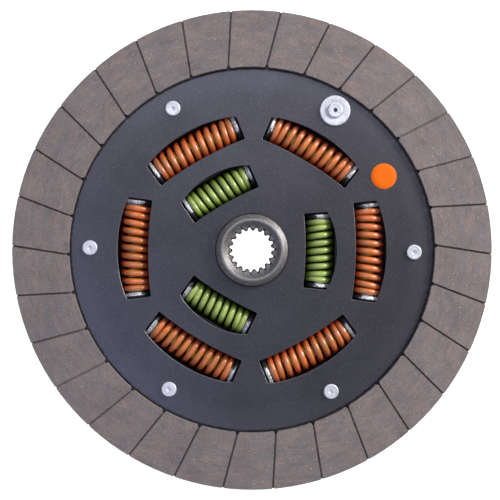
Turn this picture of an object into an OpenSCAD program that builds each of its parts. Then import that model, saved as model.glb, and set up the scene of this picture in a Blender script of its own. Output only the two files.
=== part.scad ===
// Sprung clutch disc with bonded facings. The disc lies flat on the rear end of its hub,
// the front side faces +Z and the hub's axis is the Z axis.

/* [Facings] */
// Outer diameter of both facings
facing_od = 330; // [310:1:380]
// Inner diameter of both facings
facing_id = 252; // [246:1:270]
// Thickness of one facing
facing_t = 3.5; // [2.5:0.1:5]
// Number of grooves across each facing
groove_count = 30; // [12:1:36]
// Width of a groove
groove_w = 1.2; // [0.8:0.1:2.5]
// Depth of a groove, less than the facing's thickness
groove_depth = 2.2; // [1:0.1:2.4]
// Angle of the first groove's outer end
groove_angle = 11; // [0:0.5:12]
// Angle by which a groove's inner end leads its outer end
groove_lead = 2.5; // [0:0.1:5]
// Radius of the pads' corners at the inner edge
pad_corner_r = 2; // [1:0.1:3]

/* [Plates] */
// Thickness of the driven plate that carries the facings
plate_t = 2.6; // [2:0.1:4]
// Distance from the facing's outer edge in to the driven plate's edge
plate_inset = 0.8; // [0.3:0.1:3]
// Thickness of the rear retainer plate
retainer_t = 3; // [2:0.1:4]
// Width of the retainer plate outside the stop pins' circle
retainer_margin = 11; // [9:0.5:12]
// Clear distance between the two plates
plates_gap = 18.4; // [18.2:0.1:22]
// Radial gap between the hub's barrel and the plates
hub_gap = 0.5; // [0.3:0.1:1.5]

/* [Hub] */
// Length of the hub
hub_len = 48; // [44:1:70]
// Height of the hub's front end above the driven plate
hub_stand = 7.5; // [4:0.5:14]
// Diameter of the hub's barrel
barrel_d = 49.5; // [44:0.5:56]
// Width of the bevel round the barrel's ends
barrel_bevel_w = 3.5; // [1:0.1:4]
// Height of the bevel round the barrel's ends
barrel_bevel_h = 2.4; // [1:0.1:4]
// Width of the lead-in cone at the bore's mouths
mouth_w = 3.7; // [2:0.1:4.5]
// Depth of the lead-in cone at the bore's mouths
mouth_h = 2.6; // [1:0.1:5]
// Thickness of the hub's flange
flange_t = 10; // [6:0.5:12]
// Diameter of the hub's flange
flange_d = 216; // [210:1:218]
// Leg of the fillet where the flange meets the barrel
flange_fillet = 1.4; // [0.5:0.1:2]

/* [Spline] */
// Number of teeth of the bore's spline
spline_teeth = 19; // [12:1:26]
// Pitch diameter of the spline
spline_pitch_d = 30.16; // [28:0.1:33]
// Radial distance from the pitch circle in to the teeth's tips
spline_tip_h = 0.79; // [0.5:0.01:1.2]
// Radial distance from the pitch circle out to the spaces' roots
spline_root_h = 1.42; // [0.5:0.01:2]
// Angle of the teeth's flanks
spline_flank = 30; // [20:1:35]
// Angle of the first space
spline_angle = 1.5; // [0:0.5:18]

/* [Outer springs] */
// Number of outer springs
outer_count = 6; // [4:1:6]
// Angle of the first outer spring
outer_angle = -0.8; // [-10:0.1:10]
// Distance of an outer spring's middle from the disc's axis
outer_row_r = 81.8; // [81:0.1:82.5]
// Diameter of an outer spring
outer_od = 22; // [20:0.5:22.5]
// Wire of an outer spring
outer_wire = 4.35; // [3:0.05:4.6]
// Length of an outer spring as fitted
outer_len = 68.5; // [60:0.1:70]
// Coils of an outer spring that show between its closed ends
outer_coils = 11; // [8:1:11]
// Advance of an outer spring's first open half coil, as a share of its wire
outer_lead = 0.17; // [0.02:0.01:0.5]
// Radius of the curve along which an outer spring lies
outer_bow = 265; // [250:5:600]

/* [Nested springs] */
// Diameter of the spring nested in an outer spring
nested_od = 12.4; // [10:0.1:12.6]
// Wire of a nested spring
nested_wire = 2.6; // [1.5:0.05:2.8]
// Coils of a nested spring between its closed ends
nested_coils = 16; // [10:1:16]
// Advance of a nested spring's first open half coil, as a share of its wire
nested_lead = 0.2; // [0.02:0.01:0.5]

/* [Inner springs] */
// Number of inner springs
inner_count = 3; // [2:1:3]
// Angle of the first inner spring
inner_angle = -0.8; // [-10:0.1:10]
// Distance of an inner spring's middle from the disc's axis
inner_row_r = 47.2; // [46.8:0.1:48]
// Diameter of an inner spring
inner_od = 20; // [16:0.5:20]
// Wire of an inner spring
inner_wire = 4.2; // [3:0.05:4.4]
// Length of an inner spring as fitted
inner_len = 52.1; // [46:0.1:53]
// Coils of an inner spring that show between its closed ends
inner_coils = 9; // [6:1:9]
// Advance of an inner spring's first open half coil, as a share of its wire
inner_lead = 0.02; // [0.02:0.01:0.5]
// Radius of the curve along which an inner spring lies
inner_bow = 300; // [250:5:600]

/* [Windows] */
// Clear gap at each end of a spring
seat_gap = 0.5; // [0.3:0.05:0.6]
// Distance from an outer spring's centre line out to its window's arc
outer_window_out = 11.4; // [11:0.1:12.5]
// Distance from an outer spring's centre line in to its window's inner edge
outer_window_in = 10; // [9:0.1:11]
// Distance from an inner spring's centre line out to its window's arc
inner_window_out = 11.7; // [10:0.1:12]
// Distance from an inner spring's centre line in to its window's inner edge
inner_window_in = 10.2; // [9:0.1:10.4]
// Radius of the windows' inner edges, which bow outwards
window_curve_r = 240; // [180:5:400]
// Clear gap outside a spring in the flange's windows
flange_window_gap = 0.5; // [0.3:0.1:1]
// Clear room inside a spring in the flange's windows, which its ends need as the damper turns
flange_window_room = 1.5; // [1.4:0.1:2]

/* [Stop pins] */
// Diameter of the circle on which the stop pins stand
pin_pcd = 224; // [223:0.5:226]
// Diameter of a stop pin's body between the plates
pin_body_d = 12; // [9:0.5:12]
// Diameter of a stop pin's ends in the plates
pin_shank_d = 8; // [5:0.5:9]
// Radial gap round a stop pin's ends
pin_fit = 0.1; // [0.05:0.05:0.3]
// Diameter of a stop pin's riveted head
pin_head_d = 10.4; // [9.6:0.1:14]
// Height of a stop pin's riveted head
pin_head_h = 1.7; // [1:0.1:2.5]
// Diameter of the dimple in a riveted head
pin_dimple_d = 2.8; // [1:0.1:4]
// Diameter of the balance weight under one head
weight_d = 21; // [16:0.5:22]
// Thickness of the balance weight
weight_t = 1.6; // [1:0.1:3]
// Which stop pin holds the balance weight
weight_pin = 2; // [1:1:4]
// Angle that the hub can turn each way from rest
travel = 7; // [4:0.5:8]
// Angle left between the pins and the notches at full travel
travel_spare = 0.4; // [0.2:0.1:1]
// Radial gap between a stop pin and the bottom of its notch
notch_gap = 0.8; // [0.5:0.1:2]

/* [Friction set] */
// Thickness of a friction washer
friction_t = 2; // [1:0.1:3]
// Diameter of the friction washers
friction_d = 71; // [62:0.5:72]
// Radial gap between the washers and the hub's barrel
washer_gap = 2; // [1.6:0.1:2.5]
// Thickness of the conical spring washer's sheet
cone_t = 1.2; // [0.6:0.1:1.6]

/* [Sticker] */
// Diameter of the round sticker
sticker_d = 17.7; // [10:0.1:20]
// Thickness of the sticker
sticker_t = 0.2; // [0.1:0.05:0.4]
// Distance of the sticker from the disc's axis
sticker_r = 104.4; // [102:0.1:108]
// Angle of the sticker
sticker_angle = 29.2; // [27:0.1:31]

/* [Hidden] */
$fn = 96;
OVER = 1;
CORNER_PAST = 0.08;
OUTER_NAMES = [for (i = [1 : outer_count]) str("outer_spring_", i)];
NESTED_NAMES = [for (i = [1 : outer_count]) str("nested_spring_", i)];
INNER_NAMES = [for (i = [1 : inner_count]) str("inner_spring_", i)];
PIN_NAMES = [for (i = [1 : outer_count]) str("stop_pin_", i)];

// Levels along the axis, from the hub's rear end up
plate_top = hub_len - hub_stand;
plate_z = plate_top - plate_t;
mid_z = plate_z - plates_gap / 2;
retainer_top = mid_z - plates_gap / 2;
retainer_z = retainer_top - retainer_t;
flange_top = mid_z + flange_t / 2;
flange_z = mid_z - flange_t / 2;

// Radii
facing_r = facing_od / 2;
barrel_r = barrel_d / 2;
hub_hole_r = barrel_r + hub_gap;
plate_r = facing_r - plate_inset;
pin_r = pin_pcd / 2;
retainer_r = pin_r + retainer_margin;
washer_r = barrel_r + washer_gap;
spline_tip_r = spline_pitch_d / 2 - spline_tip_h;
spline_root_r = spline_pitch_d / 2 + spline_root_h;
mouth_r = spline_root_r + mouth_w;

// A row of springs: angle, middle radius, diameter, length, bow, window's reach out, window's reach in
OUTER = [outer_angle, outer_row_r, outer_od, outer_len, outer_bow, outer_window_out, outer_window_in];
INNER = [inner_angle, inner_row_r, inner_od, inner_len, inner_bow, inner_window_out, inner_window_in];

// Gap between the closed coils at a spring's ends
coil_gap = 0.2;
// How far the smooth joint between two half coils stands out of the wire
joint_rise = 0.04;

function polar(r, a) = [r * cos(a), r * sin(a)];
function place(i, n, a) = a + 360 / n * (i - 1);

// Facings

// A groove runs straight from its outer end to its inner end; its own X axis points outwards
groove_in = polar(facing_id / 2, groove_lead);
groove_run = [facing_r, 0] - groove_in;
groove_dir = atan2(groove_run[1], groove_run[0]);
groove_slant = groove_lead - groove_dir;

// What rounds off a pad's corner beside the groove's mouth; the corner's arc runs a little past both edges
module pad_corner(side) {
    corner = [-side * groove_w / 2 * tan(groove_slant), side * groove_w / 2];
    opening = 90 + side * groove_slant;
    half = opening / 2;
    inset = pad_corner_r - CORNER_PAST;
    reach = inset / tan(half);
    centre = corner + polar(inset / sin(half), side * half);
    difference() {
        polygon([
            corner - polar(groove_w / 2, side * half),
            corner + [reach, 0],
            centre,
            corner + polar(reach, side * opening)
        ]);
        translate(centre)
            circle(r = pad_corner_r);
    }
}

module facing() {
    difference() {
        linear_extrude(facing_t)
            difference() {
                circle(r = facing_r);
                circle(d = facing_id);
                for (k = [0 : groove_count - 1])
                    rotate(groove_angle + 360 / groove_count * k)
                        translate(groove_in)
                            rotate(groove_dir)
                                for (side = [-1, 1])
                                    pad_corner(side);
            }
        for (k = [0 : groove_count - 1])
            rotate(groove_angle + 360 / groove_count * k)
                translate(groove_in)
                    rotate(groove_dir)
                        translate([-OVER * 3, -groove_w / 2, facing_t - groove_depth])
                            cube([norm(groove_run) + OVER * 6, groove_w, groove_depth + OVER]);
    }
}

module front_facing() {
    color([0.5, 0.46, 0.45])
        translate([0, 0, plate_top])
            facing();
}

module rear_facing() {
    color([0.5, 0.46, 0.45])
        translate([0, 0, plate_z])
            mirror([0, 0, 1])
                facing();
}

// Windows for the springs

// Wedge between the planes of a spring's two seats, from the centre of the spring's curve
module seat_wedge(row) {
    bow = row[4];
    half = (row[3] / 2 + seat_gap) / bow * 180 / PI;
    far = 2 * bow;
    translate([row[1] - bow, 0])
        polygon([[0, 0], polar(far, -half), polar(far, half)]);
}

// A plate's window: an arc outside and a flatter bowed edge inside
module plate_window(row) {
    outer_arc = row[1] + row[5];
    inner_mid = row[1] - row[6];
    rotate(row[0])
        intersection() {
            seat_wedge(row);
            difference() {
                circle(r = outer_arc);
                translate([inner_mid - window_curve_r, 0])
                    circle(r = window_curve_r);
            }
            translate([0, -outer_arc])
                square([outer_arc + OVER, 2 * outer_arc]);
        }
}

// The flange's window clears the whole spring
module flange_window(row) {
    sag = row[4] - sqrt(row[4] * row[4] - row[3] * row[3] / 4);
    low = row[1] - sag - row[2] / 2 - flange_window_room;
    high = row[1] + row[2] / 2 + flange_window_gap;
    rotate(row[0])
        intersection() {
            seat_wedge(row);
            translate([low, -row[3]])
                square([high - low, 2 * row[3]]);
        }
}

module outer_row() {
    for (i = [1 : outer_count])
        rotate(place(i, outer_count, 0))
            children();
}

module inner_row() {
    for (i = [1 : inner_count])
        rotate(place(i, inner_count, 0))
            children();
}

// Plates

module plate_outline(r) {
    difference() {
        circle(r = r);
        circle(r = hub_hole_r);
        outer_row()
            plate_window(OUTER);
        inner_row()
            plate_window(INNER);
        outer_row()
            translate(polar(pin_r, outer_angle))
                circle(r = pin_shank_d / 2 + pin_fit);
    }
}

module driven_plate() {
    color([0.27, 0.27, 0.31])
        translate([0, 0, plate_z])
            linear_extrude(plate_t)
                plate_outline(plate_r);
}

module retainer_plate() {
    color([0.27, 0.27, 0.31])
        translate([0, 0, retainer_z])
            linear_extrude(retainer_t)
                plate_outline(retainer_r);
}

// Hub

// One space between two teeth, with straight flanks that narrow towards the root
module spline_space() {
    half = PI * spline_pitch_d / spline_teeth / 4;
    slope = tan(spline_flank);
    polygon([
        [spline_tip_r - spline_tip_h, -half - 2 * spline_tip_h * slope],
        [spline_root_r + OVER, -half + (spline_root_h + OVER) * slope],
        [spline_root_r + OVER, half - (spline_root_h + OVER) * slope],
        [spline_tip_r - spline_tip_h, half + 2 * spline_tip_h * slope]
    ]);
}

module spline_outline() {
    circle(r = spline_tip_r);
    intersection() {
        circle(r = spline_root_r);
        for (k = [0 : spline_teeth - 1])
            rotate(spline_angle + 360 / spline_teeth * k)
                spline_space();
    }
}

// Notch in the flange's rim in which a stop pin travels
module pin_notch() {
    swing = travel + travel_spare;
    notch_r = pin_body_d / 2 + notch_gap;
    rotate(outer_angle) {
        for (side = [-1, 1])
            rotate(side * swing)
                translate([pin_r, 0])
                    circle(r = notch_r);
        intersection() {
            difference() {
                circle(r = pin_r + notch_r);
                circle(r = pin_r - notch_r);
            }
            polygon([[0, 0], polar(2 * pin_r, -swing), polar(2 * pin_r, swing)]);
        }
    }
}

module hub_flange() {
    translate([0, 0, flange_z])
        linear_extrude(flange_t)
            difference() {
                circle(d = flange_d);
                circle(r = barrel_r - OVER);
                outer_row()
                    flange_window(OUTER);
                inner_row()
                    flange_window(INNER);
                outer_row()
                    pin_notch();
            }
}

module hub_barrel() {
    face_r = barrel_r - barrel_bevel_w;
    rotate_extrude()
        difference() {
            polygon([
                [0, 0],
                [face_r, 0],
                [barrel_r, barrel_bevel_h],
                [barrel_r, flange_z - flange_fillet],
                [barrel_r + flange_fillet, flange_z],
                [barrel_r + flange_fillet, flange_top],
                [barrel_r, flange_top + flange_fillet],
                [barrel_r, hub_len - barrel_bevel_h],
                [face_r, hub_len],
                [0, hub_len]
            ]);
            polygon([
                [0, 0 - OVER],
                [mouth_r + OVER * mouth_w / mouth_h, -OVER],
                [mouth_r - mouth_w, mouth_h],
                [0, mouth_h]
            ]);
            polygon([
                [0, hub_len + OVER],
                [mouth_r + OVER * mouth_w / mouth_h, hub_len + OVER],
                [mouth_r - mouth_w, hub_len - mouth_h],
                [0, hub_len - mouth_h]
            ]);
        }
}

module hub() {
    color([0.43, 0.42, 0.41])
        difference() {
            union() {
                hub_barrel();
                hub_flange();
            }
            translate([0, 0, -OVER])
                linear_extrude(hub_len + 2 * OVER)
                    spline_outline();
        }
}

// Friction set between the flange and the plates

module washer(inner_r, outer_d, t) {
    linear_extrude(t)
        difference() {
            circle(d = outer_d);
            circle(r = inner_r);
        }
}

module front_friction_washer() {
    color([0.35, 0.3, 0.26])
        translate([0, 0, flange_top])
            washer(washer_r, friction_d, friction_t);
}

module thrust_washer() {
    color([0.6, 0.6, 0.62])
        translate([0, 0, flange_top + friction_t])
            washer(washer_r, friction_d, plate_z - flange_top - friction_t);
}

module rear_friction_washer() {
    color([0.35, 0.3, 0.26])
        translate([0, 0, flange_z - friction_t])
            washer(washer_r, friction_d, friction_t);
}

// Conical washer: its outer edge bears on the retainer plate and its inner edge on the washer above
module cone_washer() {
    low = retainer_top;
    high = flange_z - friction_t;
    rim = friction_d / 2;
    color([0.55, 0.55, 0.58])
        rotate_extrude()
            polygon([
                [rim, low],
                [rim, low + cone_t],
                [washer_r, high],
                [washer_r, high - cone_t]
            ]);
}

// Springs

// Advance of half coil k of n along the spring: flat, closed, lead-in, then an even pitch
function even_advance(n, wire, len, lead) =
    (len - wire - 2 * (wire + coil_gap) - 2 * lead * wire) / (n - 6);
function advance(k, n, wire, len, lead) =
    let (m = min(k, n - 1 - k))
        m == 0 ? 0
        : m == 1 ? wire + coil_gap
        : m == 2 ? lead * wire
        : even_advance(n, wire, len, lead);
function run_to(k, n, wire, len, lead) =
    k <= 0
        ? (wire - len) / 2
        : run_to(k - 1, n, wire, len, lead) + advance(k - 1, n, wire, len, lead);

// Point where a half coil starts after its run; odd and even ones lie on opposite sides
function coil_joint(run, side, row, coil_r) =
    [row[1] - row[4], 0] + polar(row[4] + side * coil_r, run / row[4] * 180 / PI);

// Half coil over the chord from p to q, above the plane or below it
module half_coil(p, q, wire, above) {
    chord = q - p;
    translate((p + q) / 2)
        rotate([0, 0, atan2(chord[1], chord[0])])
            rotate([above ? 90 : -90, 0, 0])
                rotate_extrude(angle = 180)
                    translate([norm(chord) / 2, 0])
                        circle(d = wire, $fn = 24);
}

module coil_spring(row, od, wire, coils, lead, hand) {
    n = 2 * coils + 3;
    coil_r = (od - wire) / 2;
    p = [
        for (k = [0 : n])
            let (side = k % 2 == 0 ? -hand : hand)
                coil_joint(run_to(k, n, wire, row[3], lead), side, row, coil_r)
    ];
    translate([0, 0, mid_z])
        rotate(row[0]) {
            for (k = [0 : n - 1])
                half_coil(p[k], p[k + 1], wire, k % 2 == 0);
            for (k = [1 : n - 1])
                translate(p[k])
                    sphere(d = wire + 2 * joint_rise, $fn = 24);
        }
}

module outer_spring(i) {
    color([0.88, 0.43, 0.2])
        rotate(place(i, outer_count, 0))
            coil_spring(OUTER, outer_od, outer_wire, outer_coils, outer_lead, -1);
}

module nested_spring(i) {
    color([0.6, 0.5, 0.15])
        rotate(place(i, outer_count, 0))
            coil_spring(OUTER, nested_od, nested_wire, nested_coils, nested_lead, 1);
}

module inner_spring(i) {
    color([0.55, 0.72, 0.3])
        rotate(place(i, inner_count, 0))
            coil_spring(INNER, inner_od, inner_wire, inner_coils, inner_lead, 1);
}

// Stop pins and the balance weight

// Half section of a riveted head, from the shank's end up, with a rounded rim and a dimple
module head_section() {
    head_r = pin_head_d / 2;
    rim = pin_head_h / 2;
    dimple = pin_dimple_d / 2;
    difference() {
        union() {
            square([head_r - rim, pin_head_h]);
            square([head_r, rim]);
            translate([head_r - rim, rim])
                circle(r = rim);
        }
        polygon([[0, pin_head_h - dimple], [dimple + OVER, pin_head_h + OVER], [0, pin_head_h + OVER]]);
        translate([-head_r, -OVER])
            square([head_r, pin_head_h + 3 * OVER]);
        translate([0, -OVER])
            square([head_r, OVER]);
    }
}

module stop_pin(i) {
    under_head = i == weight_pin ? plate_top + weight_t : plate_top;
    color([0.84, 0.84, 0.87])
        rotate(place(i, outer_count, outer_angle))
            translate([pin_r, 0, 0])
                rotate_extrude() {
                    translate([0, retainer_z])
                        square([pin_shank_d / 2, under_head - retainer_z]);
                    translate([0, retainer_top])
                        square([pin_body_d / 2, plates_gap]);
                    translate([0, under_head])
                        head_section();
                    translate([0, retainer_z])
                        mirror([0, 1])
                            head_section();
                }
}

module balance_weight() {
    color([0.84, 0.84, 0.87])
        rotate(place(weight_pin, outer_count, outer_angle))
            translate([pin_r, 0, plate_top])
                washer(pin_shank_d / 2 + pin_fit, weight_d, weight_t);
}

module sticker() {
    color([0.96, 0.43, 0.08])
        translate([0, 0, plate_top])
            linear_extrude(sticker_t)
                translate(polar(sticker_r, sticker_angle))
                    circle(d = sticker_d);
}

hub();
driven_plate();
retainer_plate();
front_facing();
rear_facing();
front_friction_washer();
thrust_washer();
rear_friction_washer();
cone_washer();
for (i = [1 : outer_count])
    outer_spring(i);
for (i = [1 : outer_count])
    nested_spring(i);
for (i = [1 : inner_count])
    inner_spring(i);
for (i = [1 : outer_count])
    stop_pin(i);
balance_weight();
sticker();
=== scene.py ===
"""Looks of a sprung clutch disc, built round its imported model.

The file is laid out as an add-on: sizes and colours are properties, each group of pieces has an
operator, and one panel lists them. Run as a script it makes everything in order.
"""

import math

import bmesh
import bpy
from bpy.props import FloatProperty, FloatVectorProperty, IntProperty, PointerProperty
from mathutils import Matrix, Vector
from mathutils.geometry import tessellate_polygon


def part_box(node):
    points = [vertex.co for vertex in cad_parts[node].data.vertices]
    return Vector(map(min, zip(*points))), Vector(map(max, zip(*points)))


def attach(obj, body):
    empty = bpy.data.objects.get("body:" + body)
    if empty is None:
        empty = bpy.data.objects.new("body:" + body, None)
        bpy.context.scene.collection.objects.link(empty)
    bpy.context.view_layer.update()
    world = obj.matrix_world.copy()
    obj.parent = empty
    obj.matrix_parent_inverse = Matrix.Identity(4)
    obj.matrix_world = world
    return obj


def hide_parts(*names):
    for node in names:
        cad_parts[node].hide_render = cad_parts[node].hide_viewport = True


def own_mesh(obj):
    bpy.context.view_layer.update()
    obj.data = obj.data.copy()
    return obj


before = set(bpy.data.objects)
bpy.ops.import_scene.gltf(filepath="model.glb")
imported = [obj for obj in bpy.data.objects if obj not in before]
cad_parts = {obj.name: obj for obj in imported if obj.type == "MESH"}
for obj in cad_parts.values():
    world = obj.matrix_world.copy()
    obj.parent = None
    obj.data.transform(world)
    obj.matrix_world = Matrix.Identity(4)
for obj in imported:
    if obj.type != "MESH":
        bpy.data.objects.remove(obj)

bl_info = {
    "name": "Clutch Disc",
    "version": (1, 0, 0),
    "blender": (4, 5, 0),
    "location": "3D View > Sidebar > Clutch Disc",
    "description": "Facings, plates, hub, springs, pins and stage of a sprung clutch disc",
    "category": "Object",
}

MM = 0.001
ORIGIN = Vector((0, 0, 0))
CREASE_ANGLE = math.radians(50)  # Edges of turned pieces that are sharper than this stay sharp
NO_AREA = 1e-16                  # Twice the area below which a flat cap's triangle is left out
ON_AXIS = 1e-7                   # Radius below which a section's point is a pole

# Points round a full circle
RIM_STEPS = 360         # Outer edges of plates and facings
INNER_EDGE_STEPS = 240  # Inner edge of a facing
HUB_HOLE_STEPS = 128    # The plates' hole round the hub
TURNED_STEPS = 96       # Turned pieces
PIN_STEPS = 40          # A stop pin
PIN_HOLE_STEPS = 32     # Its hole in a plate


def length(label, millimetres, words):
    """A size in metres, given here in millimetres"""
    return FloatProperty(name=label, description=words, default=millimetres * MM, precision=5,
                         subtype="DISTANCE", unit="LENGTH")


def angle(label, degrees, words):
    """An angle, given here in degrees"""
    return FloatProperty(name=label, description=words, default=math.radians(degrees),
                         subtype="ANGLE", unit="ROTATION")


def count(label, number, words):
    """A number of like things"""
    return IntProperty(name=label, description=words, default=number, min=1)


def share(label, part, words):
    """A plain number without a unit"""
    return FloatProperty(name=label, description=words, default=part, precision=3)


def power(label, watts, words):
    """A lamp's power in watts"""
    return FloatProperty(name=label, description=words, default=watts)


def colour(label, red, green, blue, words):
    """A linear colour"""
    return FloatVectorProperty(name=label, description=words, default=(red, green, blue), size=3,
                               min=0, max=1, subtype="COLOR")


def level(node, side):
    """Height in millimetres of a solid's bottom (0) or top (1)"""
    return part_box(node)[side].z / MM


PLATE_TOP = level("driven_plate", 1)
PLATE_LOW = level("driven_plate", 0)
RETAINER_TOP = level("retainer_plate", 1)
RETAINER_LOW = level("retainer_plate", 0)
HUB_TOP = level("hub", 1)
MIDDLE = (PLATE_LOW + RETAINER_TOP) / 2


class FacingSizes(bpy.types.PropertyGroup):
    """Sizes of the friction facings"""
    outer_radius: length("Outer radius", 165, "Outer radius of both facings")
    inner_radius: length("Inner radius", 126, "Inner radius of both facings")
    thickness: length("Thickness", level("front_facing", 1) - PLATE_TOP, "Thickness of one facing")
    grooves: count("Grooves", 30, "Number of grooves across a facing")
    groove_width: length("Groove width", 1.2, "Width of a groove")
    groove_depth: length("Groove depth", 2.2, "Depth of a groove")
    groove_angle: angle("Groove angle", 11, "Angle of the first groove's outer end")
    groove_lead: angle("Groove lead", 2.5, "Angle by which a groove's inner end leads its outer end")
    corner_radius: length("Corner radius", 2, "Radius of a pad's corners at the inner edge")
    outer_corner_radius: length("Outer corner radius", 0.15, "Radius of a pad's corners at the outer edge")
    edge_round: length("Edge rounding", 0.16, "Rounding of a pad's edges")
    chip_depth: length("Edge wear", 0.14, "How far a pad's edges wander from true")


class PlateSizes(bpy.types.PropertyGroup):
    """Sizes of the two plates and of their windows"""
    driven_radius: length("Driven plate radius", 164.2, "Outer radius of the driven plate")
    retainer_radius: length("Retainer radius", 122.5, "Outer radius of the retainer plate")
    hub_hole_radius: length("Hub hole radius", 25.25, "Radius of the hole round the hub")
    seat_gap: length("Seat gap", 0.5, "Gap between a spring's end and its window's end")
    curve_radius: length("Window curve", 240, "Radius of the windows' inner edges, which bow outwards")
    outer_window_radius: length("Outer window radius", 93.2, "Radius of an outer window's arc")
    outer_window_inner: length("Outer window inner edge", 71.8, "Distance of an outer window's inner edge")
    inner_window_radius: length("Inner window radius", 58.9, "Radius of an inner window's arc")
    inner_window_inner: length("Inner window inner edge", 37, "Distance of an inner window's inner edge")
    corner_radius: length("Window corner radius", 0.9, "Radius of a window's corners")
    edge_round: length("Edge rounding", 0.3, "Rounding of the plates' edges")


class HubSizes(bpy.types.PropertyGroup):
    """Sizes of the hub"""
    barrel_radius: length("Barrel radius", 24.75, "Radius of the hub's barrel")
    bevel_width: length("Bevel width", 3.5, "Width of the bevel round the barrel's ends")
    bevel_height: length("Bevel height", 2.4, "Height of the bevel round the barrel's ends")
    mouth_radius: length("Mouth radius", 20.2, "Radius of the bore's mouth")
    mouth_depth: length("Mouth depth", 2.6, "Depth of the cone at the bore's mouth")
    mouth_slope: length("Mouth width", 3.7, "Width of the cone at the bore's mouth")
    flange_radius: length("Flange radius", 108, "Outer radius of the flange")
    flange_thickness: length("Flange thickness", 10, "Thickness of the flange")
    flange_fillet: length("Flange fillet", 1.4, "Radius of the fillet where the flange meets the barrel")
    window_gap: length("Window gap", 0.5, "Gap outside a spring in the flange's windows")
    window_room: length("Window room", 1.5, "Room inside a spring in the flange's windows")
    teeth: count("Teeth", 19, "Number of teeth in the bore")
    pitch_radius: length("Pitch radius", 15.08, "Radius of the spline's pitch circle")
    tip_radius: length("Tip radius", 14.29, "Radius of the teeth's tips")
    root_radius: length("Root radius", 16.5, "Radius of the spaces' roots")
    first_space: angle("First space", 1.5, "Angle of the first space between two teeth")


class SpringSizes(bpy.types.PropertyGroup):
    """Sizes of the outer, nested and inner springs"""
    outer_count: count("Outer springs", 6, "Number of outer springs")
    outer_angle: angle("Outer row angle", -0.8, "Angle of the first outer spring")
    outer_row: length("Outer row radius", 81.8, "Distance of an outer spring's middle from the axis")
    outer_bow: length("Outer bow", 265, "Radius of the curve along which an outer spring lies")
    outer_length: length("Outer length", 68.5, "Length of an outer spring as fitted")
    outer_diameter: length("Outer diameter", 22, "Diameter of an outer spring")
    outer_wire: length("Outer wire", 4.35, "Wire of an outer spring")
    outer_coils: count("Outer coils", 11, "Coils of an outer spring between its closed ends")
    nested_diameter: length("Nested diameter", 12.4, "Diameter of a nested spring")
    nested_wire: length("Nested wire", 2.6, "Wire of a nested spring")
    nested_coils: count("Nested coils", 16, "Coils of a nested spring between its closed ends")
    inner_count: count("Inner springs", 3, "Number of inner springs")
    inner_angle: angle("Inner row angle", -0.8, "Angle of the first inner spring")
    inner_row: length("Inner row radius", 47.2, "Distance of an inner spring's middle from the axis")
    inner_bow: length("Inner bow", 300, "Radius of the curve along which an inner spring lies")
    inner_length: length("Inner length", 52.1, "Length of an inner spring as fitted")
    inner_diameter: length("Inner diameter", 20, "Diameter of an inner spring")
    inner_wire: length("Inner wire", 4.2, "Wire of an inner spring")
    inner_coils: count("Inner coils", 9, "Coils of an inner spring between its closed ends")
    coil_gap: length("Closed gap", 0.2, "Gap between the closed coils at a spring's ends")
    outer_lead: share("Outer lead-in", 0.17, "Advance of an outer spring's first open half coil, in wires")
    nested_lead: share("Nested lead-in", 0.2, "Advance of a nested spring's first open half coil, in wires")
    inner_lead: share("Inner lead-in", 0.02, "Advance of an inner spring's first open half coil, in wires")
    ground_share: share("Ground share", 0.3, "What grinding takes off a spring's two ends, in wires")


class PinSizes(bpy.types.PropertyGroup):
    """Sizes of the stop pins, the balance weight and the sticker"""
    circle_radius: length("Pin circle", 112, "Radius of the circle on which the stop pins stand")
    body_radius: length("Body radius", 6, "Radius of a stop pin between the plates")
    swing: angle("Swing", 7.4, "Angle from the middle of a notch to the middle of its end")
    notch_gap: length("Notch gap", 0.8, "Radial gap between a stop pin and the bottom of its notch")
    fit: length("Pin fit", 0.1, "Radial gap round a stop pin's ends")
    shank_radius: length("Shank radius", 4, "Radius of a stop pin's ends in the plates")
    head_radius: length("Head radius", 5.2, "Radius of a riveted head")
    head_height: length("Head height", 1.7, "Height of a riveted head")
    dimple_radius: length("Dimple radius", 1.5, "Radius of the dimple in a riveted head")
    weight_radius: length("Weight radius", 10.5, "Radius of the balance weight")
    weight_thickness: length("Weight thickness", 1.6, "Thickness of the balance weight")
    weight_pin: count("Weight's pin", 2, "Which stop pin holds the balance weight")
    sticker_radius: length("Sticker radius", 8.85, "Radius of the round sticker")
    sticker_distance: length("Sticker distance", 104.4, "Distance of the sticker from the axis")
    sticker_angle: angle("Sticker angle", 29.2, "Angle of the sticker")


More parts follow.
